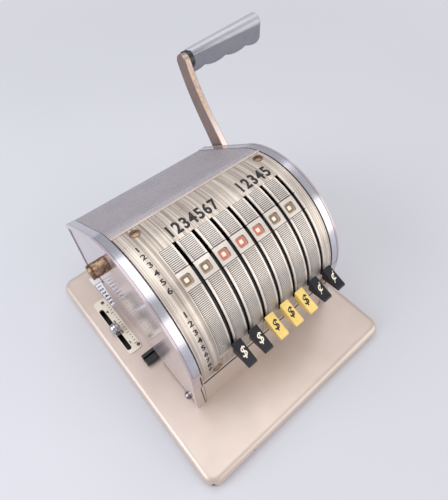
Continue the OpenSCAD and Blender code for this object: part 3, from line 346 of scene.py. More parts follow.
def face_finish():
    """The face plate: cream with brown pinstripes round the drum, white bands beside the slots,
    white panels round the windows and blocks of fine dark lines across, all worked out from X
    and the angle round the drum's axis. Painted shade and a painted reflection of the keys darken
    its lower part."""
    f = Finish("face_print_and_shade")
    x, y, z = f.axes()
    out = f.minus(DRUM_Y, y)
    up = f.minus(z, DRUM_Z)
    angle = f.math("DEGREES", f.math("ARCTAN2", up, out))
    column = f.math("FLOORED_MODULO", f.minus(x, LEVER_X0 + BLOCK_DX), LEVER_PITCH)
    first, last = LEVER_X0 + BLOCK_DX, LEVER_X0 + LEVER_PITCH * (LEVERS - 1) - SLOT_W
    printed = f.between(x, first - 0.4, last + 6.0)
    block = f.times(f.between(column, 0.0, BLOCK_W), f.between(x, first, last))
    tall = f.between(angle, BLOCK_LOW, BLOCK_HIGH)
    panel = f.between(angle, PANEL_LOW, PANEL_HIGH)
    hatch_area = f.times(f.times(block, tall), f.minus(1.0, panel))
    # pinstripes: noise that changes only with X, in three widths
    hair = f.noise(0.34, 2.0, 0.6, (1.0, 0.003, 0.003))
    thin = f.noise(0.9, 2.0, 0.7, (1.0, 0.003, 0.003))
    wide = f.noise(5.0, 2.0, 0.5, (1.0, 0.004, 0.004))
    blend = f.plus(f.times(hair, 0.45), f.times(thin, 0.35))
    stripes = f.span(f.plus(blend, f.times(wide, 0.20)), 0.42, 0.58)
    cream = f.mix(stripes, srgb(226, 214, 202), srgb(140, 126, 115))
    age = f.times(f.span(f.noise(26.0, 6.0, 0.7), 0.42, 0.75), 0.28)
    cream = f.mix(age, cream, srgb(168, 152, 136))
    # fine lines across each block, with a darker ladder down its left edge
    wave = f.math("SINE", f.times(angle, math.radians(360.0 / HATCH_PITCH)))
    lines = f.span(wave, -0.5, 0.15)
    white = srgb(216, 206, 196)
    hatch = f.mix(lines, srgb(88, 77, 75), srgb(206, 198, 189))
    ladder = f.times(f.math("LESS_THAN", column, 2.0), f.minus(1.0, lines))
    hatch = f.mix(ladder, hatch, srgb(58, 50, 50))
    hatch = f.mix(f.math("LESS_THAN", column, 0.45), hatch, srgb(100, 88, 84))
    slot_band = f.times(printed, f.between(angle, SLOT_LOW - 1.0, BLOCK_HIGH))
    colour = f.mix(slot_band, cream, white)
    colour = f.mix(hatch_area, colour, hatch)
    rule = f.math("MAXIMUM", f.between(angle, PANEL_HIGH, PANEL_HIGH + 0.5),
                  f.between(angle, PANEL_LOW - 0.5, PANEL_LOW))
    colour = f.mix(f.times(rule, printed), colour, srgb(84, 73, 71))
    grime = f.times(f.span(f.noise(9.0, 8.0, 0.72), 0.58, 0.80), 0.35)
    colour = f.mix(grime, colour, srgb(126, 108, 92))
    # painted shade and reflection of the keys: darker towards the plate's lower edge
    low = f.times(f.span(angle, 16.0, -6.0), 0.5)
    colour = f.mix(low, colour, srgb(112, 102, 96))
    roughness = f.patches(12.0, 6.0, 0.26, 0.42)
    relief = f.plus(f.times(hatch_area, lines), f.times(stripes, -0.25))
    return f.finish(colour, roughness, 0.35, f.bump(relief, 0.03), Coat_Weight=0.35, Coat_Roughness=0.14)


def dial_finish(name, tint):
    """Segments: satin metal, with a cream rim whose tone shows in the windows and painted shade,
    nearly black, under each slot.
    """
    f = Finish(name)
    x, y, z = f.axes()
    out = f.minus(y, DRUM_Y)
    up = f.minus(z, DRUM_Z)
    radius = f.math("SQRT", f.plus(f.math("POWER", out, 2.0), f.math("POWER", up, 2.0)))
    rim = f.span(radius, 73.9, 74.1)
    # painted shade: nearly black under each slot, so that the slot reads dark
    column = f.math("FLOORED_MODULO", f.minus(x, LEVER_X0 - 2.1), LEVER_PITCH)
    slot_shade = f.math("LESS_THAN", column, 4.2)
    metal = f.mix(f.patches(8.0, 5.0), srgb(150, 146, 140), srgb(104, 98, 92))
    cream = f.mix(f.patches(3.0, 5.0), srgb(*tint), srgb(176, 158, 138))
    colour = f.mix(rim, metal, cream)
    colour = f.mix(slot_shade, colour, srgb(14, 13, 14))
    roughness = f.patches(5.0, 5.0, 0.35, 0.55)
    return f.finish(colour, roughness, 0.25, f.bump(f.noise(2.0, 3.0), 0.01))


def arm_finish():
    """The handle's arm: bronze enamel with painted light making its front edge paler, rubbed through
    to brass near the top of that edge."""
    f = Finish("arm_enamel")
    x, y, z = f.axes()
    tone = f.patches(22.0, 4.0)
    base = f.mix(tone, srgb(120, 96, 87), srgb(108, 84, 75))
    base = f.mix(f.times(f.span(f.noise(0.5, 2.0), 0.35, 0.7), 0.12), base, srgb(255, 240, 226))
    lean = math.radians(ARM_LEAN)
    along_y = f.times(f.minus(y, PIVOT_Y), math.sin(lean))
    along_z = f.times(f.minus(z, PIVOT_Z), math.cos(lean))
    along = f.plus(along_y, along_z)
    front_y = f.times(f.minus(y, PIVOT_Y), -math.cos(lean))
    front_z = f.times(f.minus(z, PIVOT_Z), math.sin(lean))
    front = f.plus(front_y, front_z)
    upper = f.times(f.span(along, 88.0, 112.0), f.span(along, 156.0, 140.0))
    far_x = ARM_X + ARM_T
    inside = f.times(f.span(x, ARM_X + 0.2, ARM_X + 1.0), f.span(x, far_x - 0.2, far_x - 1.0))
    face = f.times(f.span(front, 2.0, 6.0), inside)
    # painted light: the front edge is paler, most of all towards its lower part
    pale = f.times(face, f.span(along, 118.0, 70.0, 0.3, 0.9))
    base = f.mix(pale, base, srgb(240, 220, 212))
    worn_noise = f.span(f.noise(2.6, 6.0, 0.7, (0.6, 0.4, 0.4)), 0.46, 0.54)
    worn = f.times(f.times(upper, face), worn_noise)
    base = f.mix(worn, base, srgb(198, 172, 140))
    dark = f.times(f.times(upper, face), f.span(f.noise(3.4, 5.0), 0.60, 0.72))
    base = f.mix(f.times(dark, 0.6), base, srgb(120, 104, 84))
    roughness = f.patches(9.0, 6.0, 0.30, 0.46)
    normal = f.bump(f.noise(5.0, 3.0), 0.02)
    return f.finish(base, roughness, 0.45, normal, Coat_Weight=0.3, Coat_Roughness=0.2)


def grip_finish():
    """The grip: satin grey, with painted light making its top lighter than its flat front."""
    f = Finish("grip_grey")
    x, y, z = f.axes()
    out, up = f.minus(y, GRIP_AT[1]), f.minus(z, GRIP_AT[2])
    # painted light: lighter over the top, darker on the flat front
    over = f.span(f.plus(out, up), 17.0, 29.0)
    base = f.mix(f.patches(9.0, 4.0), srgb(142, 142, 152), srgb(134, 134, 144))
    base = f.mix(over, base, srgb(190, 190, 197))
    roughness = f.patches(6.0, 4.0, 0.32, 0.38)
    normal = f.bump(f.noise(1.6, 2.0), 0.002)
    return f.finish(base, roughness, 0.45, normal, Coat_Weight=0.25, Coat_Roughness=0.15)


def flat_ink(name, colour, rough=0.5):
    """Printing ink, filled engraving and painted seam shadow, with thin spots where it has worn."""
    f = Finish(name)
    base = f.mix(f.times(f.span(f.noise(1.2, 5.0), 0.5, 0.75), 0.35), srgb(*colour),
                 srgb(*[int(0.7 * part + 60) for part in colour]))
    return f.finish(base, f.patches(3.0, 3.0, rough - 0.08, rough + 0.1), 0.0,
                    f.bump(f.noise(0.8, 2.0), 0.006))


# Chips of the base's enamel: X, Y, Z and radius
CHIPS = [(-104.0, -124.5, 9.0, 2.0), (-101.5, -125.5, 6.5, 1.5), (-62.0, -126.2, 9.0, 1.1)]
paint = enamel("base_enamel", (201, 184, 173), (193, 176, 165), 0.36, 0.6, chips=CHIPS, gloss=0.3)
side_paint = enamel("side_enamel", (188, 173, 179), (179, 164, 170), 0.16, 0.5)
band_metal = brushed("band_metal", (206, 204, 210), (190, 188, 198), 0.20, (1.0, 0.02, 0.02), 0.8,
                     depth=0.002, spotted=0.12)
# painted shade darkens the rib grooves
rib_metal = brushed("rib_metal", (216, 209, 213), (206, 198, 203), 0.34, (0.05, 1.0, 1.0), 0.55, groove_shaded=True)
trim_metal = brushed("trim_metal", (244, 228, 216), (220, 202, 190), 0.25, (0.05, 1.0, 1.0), 0.5)
steel = brushed("machined_steel", (150, 150, 152), (112, 112, 116), 0.36, (0.3, 1.0, 1.0))
chrome = brushed("polished_ball", (226, 226, 230), (190, 190, 196), 0.12)
# painted shade and reflection: the guide pin's chrome is darker and tinted like the paint round it
shaded_chrome = brushed("shaded_ball", (176, 160, 166), (120, 104, 112), 0.18)
screw_metal = brushed("screw_metal", (176, 148, 122), (128, 104, 82), 0.34)
tab_metal = moulded("tab_metal", (238, 236, 238), (226, 224, 228), 0.34, 0.2)
brass = turned_brass("lock_brass")
release_black = moulded("release_black", (5, 5, 7), (4, 4, 5), 0.32, 0.1)
# painted shade: the bottom plate is nearly black so that the inside reads dark through the slots
painted_shade_black = moulded("painted_shade_black", (26, 26, 28), (18, 18, 20), 0.5, 0.0)
type_metal = brushed("type_metal", (150, 128, 92), (84, 74, 62), 0.42)
face = face_finish()
dark_key = moulded("key_dark", (9, 8, 24), (7, 6, 18), 0.34, 0.03, (17, 16, 32))
yellow_key = moulded("key_yellow", (236, 206, 122), (228, 192, 100), 0.28, 0.4, (242, 222, 160))
grip_plastic = grip_finish()
collar_plastic = moulded("collar_dark", (30, 26, 26), (22, 20, 20), 0.4, 0.2)
rubber = moulded("black_rubber", (34, 34, 36), (26, 26, 28), 0.7, 0.0, (70, 68, 66))
ink_rubber = moulded("inked_rubber", (34, 26, 58), (20, 16, 34), 0.35, 0.2)
scale_print = moulded("scale_ivory", (236, 228, 212), (220, 208, 188), 0.38, 0.3, (196, 180, 156))
rivet_metal = brushed("rivet_metal", (120, 112, 104), (84, 78, 72), 0.4)
black_ink = flat_ink("black_ink", (17, 13, 17))
cream_ink = flat_ink("cream_ink", (240, 228, 206))
red_ink = flat_ink("red_ink", (212, 116, 102))
brown_ink = flat_ink("brown_ink", (132, 114, 94))
tick_ink = flat_ink("tick_ink", (84, 80, 84))
# painted shadow for the dark gaps at the seams and in the key slot
painted_seam_shadow = flat_ink("seam_shadow", (10, 7, 7), 0.7)
brass_bright = brushed("brass_face", (206, 180, 152), (170, 140, 112), 0.3)
dial_plain = dial_finish("dial_plain", (192, 174, 152))
dial_red = dial_finish("dial_red", (206, 170, 152))
arm_enamel = arm_finish()

NODE_FINISH = {
    "base_shell": paint, "front_apron": paint, "side_cover_left": side_paint, "side_cover_right": side_paint,
    "side_band_left": band_metal, "side_band_right": band_metal, "face_plate": face,
    "top_trim": trim_metal, "rear_cover": rib_metal, "cover_screws": screw_metal,
    "scale_plate": scale_print, "scale_rivets": rivet_metal, "guide_pin": shaded_chrome,
    "lock_cylinder": brass, "lock_plug": brass, "finger_tab": tab_metal, "release_key": release_black,
    "gauge_slider": chrome, "rubber_feet": rubber, "platen_pad": rubber, "ink_roller": ink_rubber,
    "bottom_plate": painted_shade_black, "handle_arm": arm_enamel, "grip_collar": collar_plastic,
    "handle_grip": grip_plastic,
}
for number in range(1, LEVERS + 1):
    NODE_FINISH[f"segment_{number}"] = dial_red if number in (3, 4, 5) else dial_plain
    NODE_FINISH[f"key_{number}"] = yellow_key if number in (3, 4, 5) else dark_key
    NODE_FINISH[f"type_wheel_{number}"] = type_metal
for name, node in nodes.items():
    node.data.materials.clear()
    node.data.materials.append(NODE_FINISH.get(name, steel))


# ---- Lettering ----

GLYPH_CUT = 0.09
glyph_store = {}


def glyph(character, weight):
    """A character as points (across, up, 0 to 1 from back to front) in units of its height, centred,
    and its faces. It is cut into thin level bands, so that it can bend round the drum."""
    if (character, weight) in glyph_store:
        return glyph_store[character, weight]
    curve = bpy.data.curves.new("glyph", "FONT")
    curve.body = character
    curve.offset = weight
    curve.extrude = 0.05
    curve.resolution_u = 4
    holder = bpy.data.objects.new("glyph", curve)
    bpy.context.scene.collection.objects.link(holder)
    bpy.context.view_layer.update()
    mesh = bpy.data.meshes.new_from_object(holder)
    bpy.data.objects.remove(holder)
    work = bmesh.new()
    work.from_mesh(mesh)
    bmesh.ops.remove_doubles(work, verts=work.verts, dist=1e-6)
    low, high = min(v.co.y for v in work.verts), max(v.co.y for v in work.verts)
    for level in np.arange(low + GLYPH_CUT, high, GLYPH_CUT):
        parts = work.verts[:] + work.edges[:] + work.faces[:]
        bmesh.ops.bisect_plane(work, geom=parts, plane_co=(0, level, 0), plane_no=(0, 1, 0))
    bmesh.ops.recalc_face_normals(work, faces=work.faces)
    work.verts.index_update()
    points = np.array([v.co[:] for v in work.verts])
    faces = [[v.index for v in f.verts] for f in work.faces]
    work.free()
    height = high - low
    points[:, 0] = (points[:, 0] - (points[:, 0].min() + points[:, 0].max()) / 2) / height
    points[:, 1] = (points[:, 1] - (low + high) / 2) / height
    points[:, 2] = points[:, 2] / 0.1 + 0.5
    bpy.data.meshes.remove(mesh)
    bpy.data.curves.remove(curve)
    glyph_store[character, weight] = (points, faces)
    return glyph_store[character, weight]


INK_T = 0.1
INK_SUNK = 0.04


def print_on(name, marks, surface, material, weight=0.02, widen=1.0, lean=0.0):
    """One mesh of many characters. Each mark is (character, across, up, height) in millimetres, and
    surface turns arrays of across, up and height above the surface into points. A lean slants them."""
    points, faces, count = [], [], 0
    for character, across, up, height in marks:
        unit, corners = glyph(character, weight)
        lift = unit[:, 2] * (INK_T + INK_SUNK) - INK_SUNK
        side = (unit[:, 0] * widen + unit[:, 1] * lean) * height
        points.append(surface(across + side, up + unit[:, 1] * height, lift))
        faces += [[corner + count for corner in face_corners] for face_corners in corners]
        count += len(unit)
    piece = add_piece(name, np.vstack(points), faces, material, sharp=40.0)
    tidy_normals(piece)
    return piece


def shifted(surface, middle):
    """The same surface, with its across = 0 moved to a middle."""
    return lambda across, up, lift: surface(across + middle, up, lift)


def plate_surface(angle, radius=PLATE_R):
    """A surface function round the drum whose up = 0 lies at the given angle."""
    def place(across, up, lift):
        return on_drum(across, angle + np.degrees(up / radius), radius + lift)
    return place


# Numbers over the two groups of columns, from the first X to the last
SIGN_H, SIGN_ANGLE = 11.4, 87.0
for name, text, first, last in (("dollar_numbers", "1234567", -32.6, 8.8),
                                ("cent_numbers", "12345", 35.6, 63.4)):
    marks = [(c, x, 0.0, SIGN_H) for c, x in zip(text, np.linspace(first, last, len(text)))]
    fasten(print_on(name, marks, plate_surface(SIGN_ANGLE), black_ink, 0.03, 0.8), "chassis")

# Two columns of digits down the plate's left margin, from an angle down at a pitch
MARGIN_X, MARGIN_H = -59.0, 4.6
for name, text, angle, pitch in (("upper_digits", "123456", 88.2, 7.6),
                                 ("lower_digits", "1234567890", 45.0, 7.7)):
    marks = [(c, MARGIN_X, -i * pitch, MARGIN_H) for i, c in enumerate(text)]
    fasten(print_on(name, marks, plate_surface(angle), black_ink, 0.02, 1.3), "chassis")


# ---- Dials ----

def lever_x(i):
    """X of the middle of a lever's slot, counted from 0 at the left."""
    return LEVER_X0 + i * LEVER_PITCH


DIGIT_H = 6.0
NOUGHT_W, NOUGHT_H, NOUGHT_T = 6.2, 6.4, 1.5


def squarish(width, height, count=48):
    """A rounded square, |x / a| ^ 5 + |y / b| ^ 5 = 1, as points anticlockwise."""
    a = np.linspace(0.0, 2 * math.pi, count, endpoint=False)
    cos, sin = np.cos(a), np.sin(a)
    return np.column_stack([width / 2 * np.sign(cos) * np.abs(cos) ** 0.4,
                            height / 2 * np.sign(sin) * np.abs(sin) ** 0.4])


def nought(name, surface, material):
    """A ring between two rounded squares, sunk a little into the surface and proud by the ink."""
    outer = squarish(NOUGHT_W, NOUGHT_H)
    inner = squarish(NOUGHT_W - 2 * NOUGHT_T, NOUGHT_H - 2 * NOUGHT_T)
    rows = [(outer, -INK_SUNK), (outer, INK_T), (inner, INK_T), (inner, -INK_SUNK)]
    points = np.vstack([surface(p[:, 0], p[:, 1], np.full(len(p), lift)) for p, lift in rows])
    piece = add_piece(name, points, grid_faces(4, len(outer), True, True), material)
    tidy_normals(piece)
    return piece


def pad(name, surface, material):
    """The pale middle of a nought: a thin rounded square, closed at its top and bottom."""
    edge = squarish(NOUGHT_W - 2 * NOUGHT_T + 0.1, NOUGHT_H - 2 * NOUGHT_T + 0.1)
    rows = [(edge * 0.02, -INK_SUNK), (edge, -INK_SUNK), (edge, INK_T * 0.4), (edge * 0.02, INK_T * 0.4)]
    points = np.vstack([surface(p[:, 0], p[:, 1], np.full(len(p), lift)) for p, lift in rows])
    count = len(edge)
    faces = grid_faces(4, count, False, True).tolist()
    faces += [list(range(count)), list(range(4 * count - 1, 3 * count - 1, -1))]
    piece = add_piece(name, points, faces, material)
    tidy_normals(piece)
    return piece


for i in range(LEVERS):
    middle = lever_x(i) - WINDOW_DX
    digits = [(str(k), middle, -math.radians(STEP * k) * DIAL_R, DIGIT_H) for k in range(1, 10)]
    ink = red_ink if 2 <= i <= 4 else brown_ink
    body = f"lever_{i + 1}"
    dial = plate_surface(WINDOW_ANGLE, DIAL_R)
    fasten(print_on(f"dial_digits_{i + 1}", digits, dial, ink, 0.03, 1.2), body)
    window = shifted(dial, middle)
    fasten(nought(f"dial_nought_{i + 1}", window, ink), body)
    fasten(pad(f"dial_pad_{i + 1}", window, cream_ink), body)


# ---- Scale and tab ----

def level_surface(x, y, z, turned=False):
    """A level surface at z with its origin at (x, y); turned, its lines read towards the front."""
    def place(across, up, lift):
        if turned:
            across, up = up, -across
        return np.column_stack([x + across, y + up, np.broadcast_to(z + lift, np.shape(across))])
    return place


def bars(name, quads, surface, material, low=-INK_SUNK, high=INK_T):
    """Thin bars on a surface, each a list of four (across, up) corners anticlockwise, as one mesh."""
    points, faces = [], []
    for quad in quads:
        start = 4 * len(points)
        flat = np.array(quad, float)
        for lift in (low, high):
            points.append(surface(flat[:, 0], flat[:, 1], np.full(4, lift)))
        faces += [[start + c for c in f] for f in ([0, 3, 2, 1], [4, 5, 6, 7], [0, 1, 5, 4], [1, 2, 6, 5],
                                                  [2, 3, 7, 6], [3, 0, 4, 7])]
    return add_piece(name, np.vstack(points), faces, material, smooth=False)


def line(start, end, width):
    """Corners of a straight line of a width between two points."""
    start, end = np.array(start, float), np.array(end, float)
    along = (end - start) / np.linalg.norm(end - start)
    side = np.array([-along[1], along[0]]) * width / 2
    return [start - side, end - side, end + side, start + side]


SCALE_Y0, SCALE_Y1, TICK_PITCH, TICK_W = 16.0, 70.0, 3.575, 0.6
TICK_MARGIN, TICK_SHORT, TICK_LONG = 1.8, 1.6, 3.0
SCALE_DIGIT_H, SCALE_DIGIT_IN, SCALE_DIGIT_Y = 3.4, 6.9, (20.0, 34.4, 48.6, 62.9)
scale_edge, _, scale_top = np.array(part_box("scale_plate"))[1] / MM
ticks = []
for k, y in enumerate(np.arange(SCALE_Y0, SCALE_Y1, TICK_PITCH)):
    inner = TICK_MARGIN + (TICK_LONG if k % 4 == 0 else TICK_SHORT)
    ticks.append(line((scale_edge - inner, y), (scale_edge - TICK_MARGIN, y), TICK_W))
fasten(bars("scale_ticks", ticks, level_surface(0.0, 0.0, scale_top), black_ink), "chassis")
scale_marks = [(c, 0.0, y, SCALE_DIGIT_H) for c, y in zip("1234", SCALE_DIGIT_Y)]
scale_column = level_surface(scale_edge - SCALE_DIGIT_IN, 0.0, scale_top)
fasten(print_on("scale_digits", scale_marks, scale_column, black_ink, 0.03, 1.1), "chassis")

TAB_X, TAB_END_X, TAB_TOP, TAB_FOLD_Y, TAB_END_Y = (-85.3, -76.7), (-84.0, -80.1), 41.6, 80.0, 48.0
TAB_MIDDLE, TAB_DIGIT_H, TAB_DIGITS_TO = (-81.6, 64.0), 3.9, 11.5
tab_marks = [(c, across, 0.0, TAB_DIGIT_H)
             for c, across in zip("123456", np.linspace(-TAB_DIGITS_TO, TAB_DIGITS_TO, 6))]
tab_middle = level_surface(*TAB_MIDDLE, TAB_TOP, True)
# Its outline in ink, a little inside its edges
fasten(print_on("tab_digits", tab_marks, tab_middle, black_ink, 0.04, 1.0), "tab")
tab_lines = [line((TAB_X[0] + 0.5, TAB_FOLD_Y - 0.4), (TAB_X[1] - 0.6, TAB_FOLD_Y - 0.4), 0.6),
             line((TAB_X[0] + 0.4, TAB_FOLD_Y - 1.0), (TAB_END_X[0], TAB_END_Y + 0.6), 0.5),
             line((TAB_END_X[0], TAB_END_Y + 0.5), (TAB_END_X[1], TAB_END_Y + 0.5), 0.6),
             line((TAB_END_X[1], TAB_END_Y + 0.6), (TAB_X[1] - 0.5, TAB_FOLD_Y - 1.0), 0.4)]
fasten(bars("tab_lines", tab_lines, level_surface(0.0, 0.0, TAB_TOP), tick_ink), "tab")


# ---- Seams and front strip ----

def front_surface(y):
    """An upright surface that faces the front, its up along Z."""
    def place(across, up, lift):
        return np.column_stack([across, np.broadcast_to(y - lift, np.shape(across)), up])
    return place


# the seams are strips of painted shadow in the gaps between parts
APRON_Y, COVER_Y, SEAM_Z, SEAM_W = DRUM_Y - PLATE_R + 0.12, -71.5, 56.4, 2.6
front_seam = [line((PLATE_X0 + 0.6, SEAM_Z), (PLATE_X1 - 0.4, SEAM_Z), SEAM_W)]
# (x, z) down the seam at the cover's front corner
corner = [(-69.3, 76.0), (-68.8, 56.2), (-70.6, 53.4), (-68.8, BASE_H + 1.0)]
corner_seams = [line(start, end, 0.9) for start, end in zip(corner, corner[1:])]
fasten(bars("front_seams", front_seam, front_surface(APRON_Y), painted_seam_shadow, -0.4, 0.06), "chassis")
STRIP_X0, STRIP_X1, STRIP_TOP = -76.3, -67.6, 61.4
strip = [(STRIP_X0, BASE_H + 0.1), (STRIP_X1, BASE_H + 0.1), (STRIP_X1, STRIP_TOP), (STRIP_X0, STRIP_TOP)]
fasten(bars("front_strip", [strip], front_surface(COVER_Y), paint, -0.5, 0.02), "chassis")
fasten(bars("corner_seams", corner_seams, front_surface(COVER_Y), painted_seam_shadow, -0.6, 0.06), "chassis")


def arc_strip(name, x0, x1, material):
    """A thin strip round the drum between two X, from the front to the trim, as a closed band."""
    angles = np.linspace(0.0, 104.0, 60)
    corners = [(x0, -INK_SUNK), (x1, -INK_SUNK), (x1, INK_T), (x0, INK_T)]
    points = np.stack([on_drum(x, angles, PLATE_R + lift) for x, lift in corners], 1).reshape(-1, 3)
    last = len(points) - 1
    faces = grid_faces(len(angles), 4, False, True).tolist()
    faces += [[0, 1, 2, 3], [last, last - 1, last - 2, last - 3]]
    piece = add_piece(name, points, faces, material)
    tidy_normals(piece)
    return piece


# painted shadow in the gaps along the face plate's sides
fasten(arc_strip("left_seam", PLATE_X0 + 0.05, PLATE_X0 + 0.6, painted_seam_shadow), "chassis")
fasten(arc_strip("right_seam", PLATE_X1 - 0.6, PLATE_X1 - 0.05, painted_seam_shadow), "chassis")


# ---- Lock ----

LOCK_Y, LOCK_Z, LOCK_R, LOCK_X, LOCK_END = 28.0, 127.5, 6.4, -76.1, -91.3
LOCK_FACE = LOCK_END - 0.4


def turned(name, profile, material, knurls=0, depth=0.0, sides=72):
    """Turns a profile of (x, radius) about the lock's axis. A knurled part dips by depth times
    (1 - cos(knurls times the angle)) / 2 where its third value is 1."""
    profile = np.array(profile, float)
    a = np.linspace(0.0, 2 * math.pi, sides, endpoint=False)
    dip = profile[:, 2:3] * depth * (1 - np.cos(knurls * a)[None, :]) / 2
    radius = profile[:, 1:2] - dip
    x = np.repeat(profile[:, :1], sides, 1)
    points = np.stack([x, LOCK_Y + radius * np.cos(a), LOCK_Z + radius * np.sin(a)], -1).reshape(-1, 3)
    faces = grid_faces(len(profile), sides, False, True).tolist()
    faces += [list(range(sides)), list(range(len(points) - sides, len(points)))[::-1]]
    piece = add_piece(name, points, faces, material)
    tidy_normals(piece)
    return piece


barrel = [(LOCK_END + 1.5, 4.3, 0), (LOCK_END, 4.5, 0), (LOCK_END, 5.9, 0), (LOCK_END + 0.4, 6.3, 0),
          (LOCK_END + 2.0, 6.3, 0), (LOCK_END + 2.4, 5.9, 0), (LOCK_END + 2.8, LOCK_R, 1),
          (LOCK_X - 0.6, LOCK_R, 1), (LOCK_X - 0.2, 5.8, 0), (LOCK_X + 5.0, 4.6, 0)]
fasten(turned("lock_barrel", barrel, brass, 30, 0.16, 180), "chassis", ["lock_cylinder"])
plug = [(LOCK_FACE, 0.05, 0), (LOCK_FACE, 3.8, 0), (LOCK_END - 0.1, 4.15, 0), (LOCK_END + 3.0, 4.15, 0)]
fasten(turned("lock_face", plug, brass_bright), "lock", ["lock_plug"])


def side_surface(x):
    """An upright surface that faces the left, its across along Y towards the front."""
    def place(across, up, lift):
        return np.column_stack([np.broadcast_to(x - lift, np.shape(across)), LOCK_Y - across, LOCK_Z + up])
    return place


slot = line((0.0, -2.4), (0.0, 2.4), 1.0)
# painted shadow in the key slot
fasten(bars("key_slot", [slot], side_surface(LOCK_FACE), painted_seam_shadow, -0.3, 0.03), "lock")


# ---- Rear cover ----

RIB_PITCH, RIB_DEPTH = 2.5, 0.55


def rear_path(step):
    """Side view of the rear cover from the trim strip down to the base: an arc of the drum, the
    straight slope, the rounded corner and the upright wall, as points and outward directions."""
    slope = 90.0 + REAR_SLOPE
    corner_y = REAR_Y - REAR_CORNER_R
    tilt = math.radians(REAR_SLOPE)
    corner_z = DRUM_Z + (PLATE_R - REAR_CORNER_R - math.sin(tilt) * (corner_y - DRUM_Y)) / math.cos(tilt)
    pieces = []
    length = math.radians(slope - REAR_TOP_ANGLE) * PLATE_R
    a = np.radians(np.linspace(REAR_TOP_ANGLE, slope, round(length / step)))
    normal = np.column_stack([-np.cos(a), np.sin(a)])
    pieces.append((np.array([DRUM_Y, DRUM_Z]) + PLATE_R * normal, normal))
    start = pieces[0][0][-1]
    end = np.array([corner_y, corner_z]) + REAR_CORNER_R * normal[-1]
    t = np.linspace(0.0, 1.0, round(np.linalg.norm(end - start) / step))[1:, None]
    pieces.append((start + (end - start) * t, np.repeat(normal[-1:], len(t), 0)))
    length = math.radians(180.0 - slope) * REAR_CORNER_R
    a = np.radians(np.linspace(slope, 180.0, round(length / step)))[1:]
    round_normal = np.column_stack([-np.cos(a), np.sin(a)])
    pieces.append((np.array([corner_y, corner_z]) + REAR_CORNER_R * round_normal, round_normal))
    t = np.linspace(0.0, 1.0, round((corner_z - BASE_H) / step))[1:, None]
    wall = np.array([REAR_Y, corner_z]) + np.array([0.0, BASE_H - corner_z]) * t
    pieces.append((wall, np.repeat([[1.0, 0.0]], len(t), 0)))
    return np.vstack([p for p, _ in pieces]), np.vstack([n for _, n in pieces])


def mark_depth(piece, profile, depth):
    """Stores at each vertex a groove's painted-shade weight, 0 to 1, from the nearest point of a side view.
    """
    flat = np.empty(len(piece.data.vertices) * 3)
    piece.data.vertices.foreach_get("co", flat)
    side = flat.reshape(-1, 3)[:, 1:] / MM
    gaps = np.linalg.norm(side[:, None, :] - profile[None, :, :], axis=2)
    nearest = np.argmin(gaps, axis=1)
    values = np.where(gaps.min(axis=1) < RIB_DEPTH + 0.1, depth[nearest], 0.0)
    layer = piece.data.attributes.new("groove", "FLOAT", "POINT")
    layer.data.foreach_set("value", values.astype(np.float32))


path, outward = rear_path(RIB_PITCH / 10)
travelled = np.concatenate([[0.0], np.cumsum(np.linalg.norm(np.diff(path, axis=0), axis=1))])
# half-round ribs: the depth follows how far the rounded crest falls away towards each groove
dip = RIB_DEPTH * (1.0 - np.abs(np.cos(math.pi * travelled / RIB_PITCH)) ** 0.7)
section = np.vstack([path - outward * dip[:, None], (path - outward * PANEL_T)[::-1]])
ribbed = plate_along_x("ribbed_rear_cover", section, PLATE_X0, PLATE_X1, rib_metal, sharp=60.0)
# painted shade weight: 1 at the bottom of each groove, 0 on each crest
mark_depth(ribbed, path, np.sin(math.pi * travelled / RIB_PITCH) ** 2)
fasten(ribbed, "chassis", ["rear_cover"])


# ---- Keys ----

KEY_HOLLOW, KEY_SIGN_H = 0.35, 9.4
KEY_TURN = math.radians(KEY_ANGLE)
KEY_OUT = np.array([-math.cos(KEY_TURN), math.sin(KEY_TURN)])
KEY_UP = np.array([math.sin(KEY_TURN), math.cos(KEY_TURN)])


def key_point(out, up):
    """A key's point in (y, z), from its distance out from the drum's axis and its height."""
    return np.array([DRUM_Y, DRUM_Z]) + np.multiply.outer(out, KEY_OUT) + np.multiply.outer(up, KEY_UP)


def key_profile():
    """Side view of a key: a wedge whose top is very slightly hollow, with a small lip at its tip."""
    root, tip = KEY_R0, KEY_R0 + KEY_LEN
    low = KEY_TOP - KEY_ROOT_H
    tip_top = low - KEY_DROOP + KEY_TIP_H
    t = np.linspace(0.0, 1.0, 13)
    top_out = root + 0.1 + (KEY_LEN - 0.1) * t
    top_up = KEY_TOP + (tip_top - KEY_TOP) * t - KEY_HOLLOW * np.sin(math.pi * t)
    out = np.concatenate([top_out, [tip + 0.2, root]])
    up = np.concatenate([top_up, [low - KEY_DROOP, low]])
    return key_point(out, up)


def key_surface(i):
    """Surface function of a key's top, which follows its hollow. Its up = 0 lies at the key's middle
    and up runs towards the drum."""
    low = KEY_TOP - KEY_ROOT_H
    tip_top = low - KEY_DROOP + KEY_TIP_H
    root, tip = key_point(KEY_R0, KEY_TOP), key_point(KEY_R0 + KEY_LEN, tip_top)
    along = (root - tip) / np.linalg.norm(root - tip)
    normal = np.array([-along[1], along[0]])
    middle = (root + tip) / 2
    depth = KEY_HOLLOW * np.dot(normal, KEY_UP)
    length = np.linalg.norm(root - tip)

    def place(across, up, lift):
        hollow = depth * np.sin(math.pi * (0.5 + up / length))
        side = middle + np.multiply.outer(up, along) + np.multiply.outer(lift - hollow, normal)
        return np.column_stack([lever_x(i) + KEY_DX + across, side])
    return place


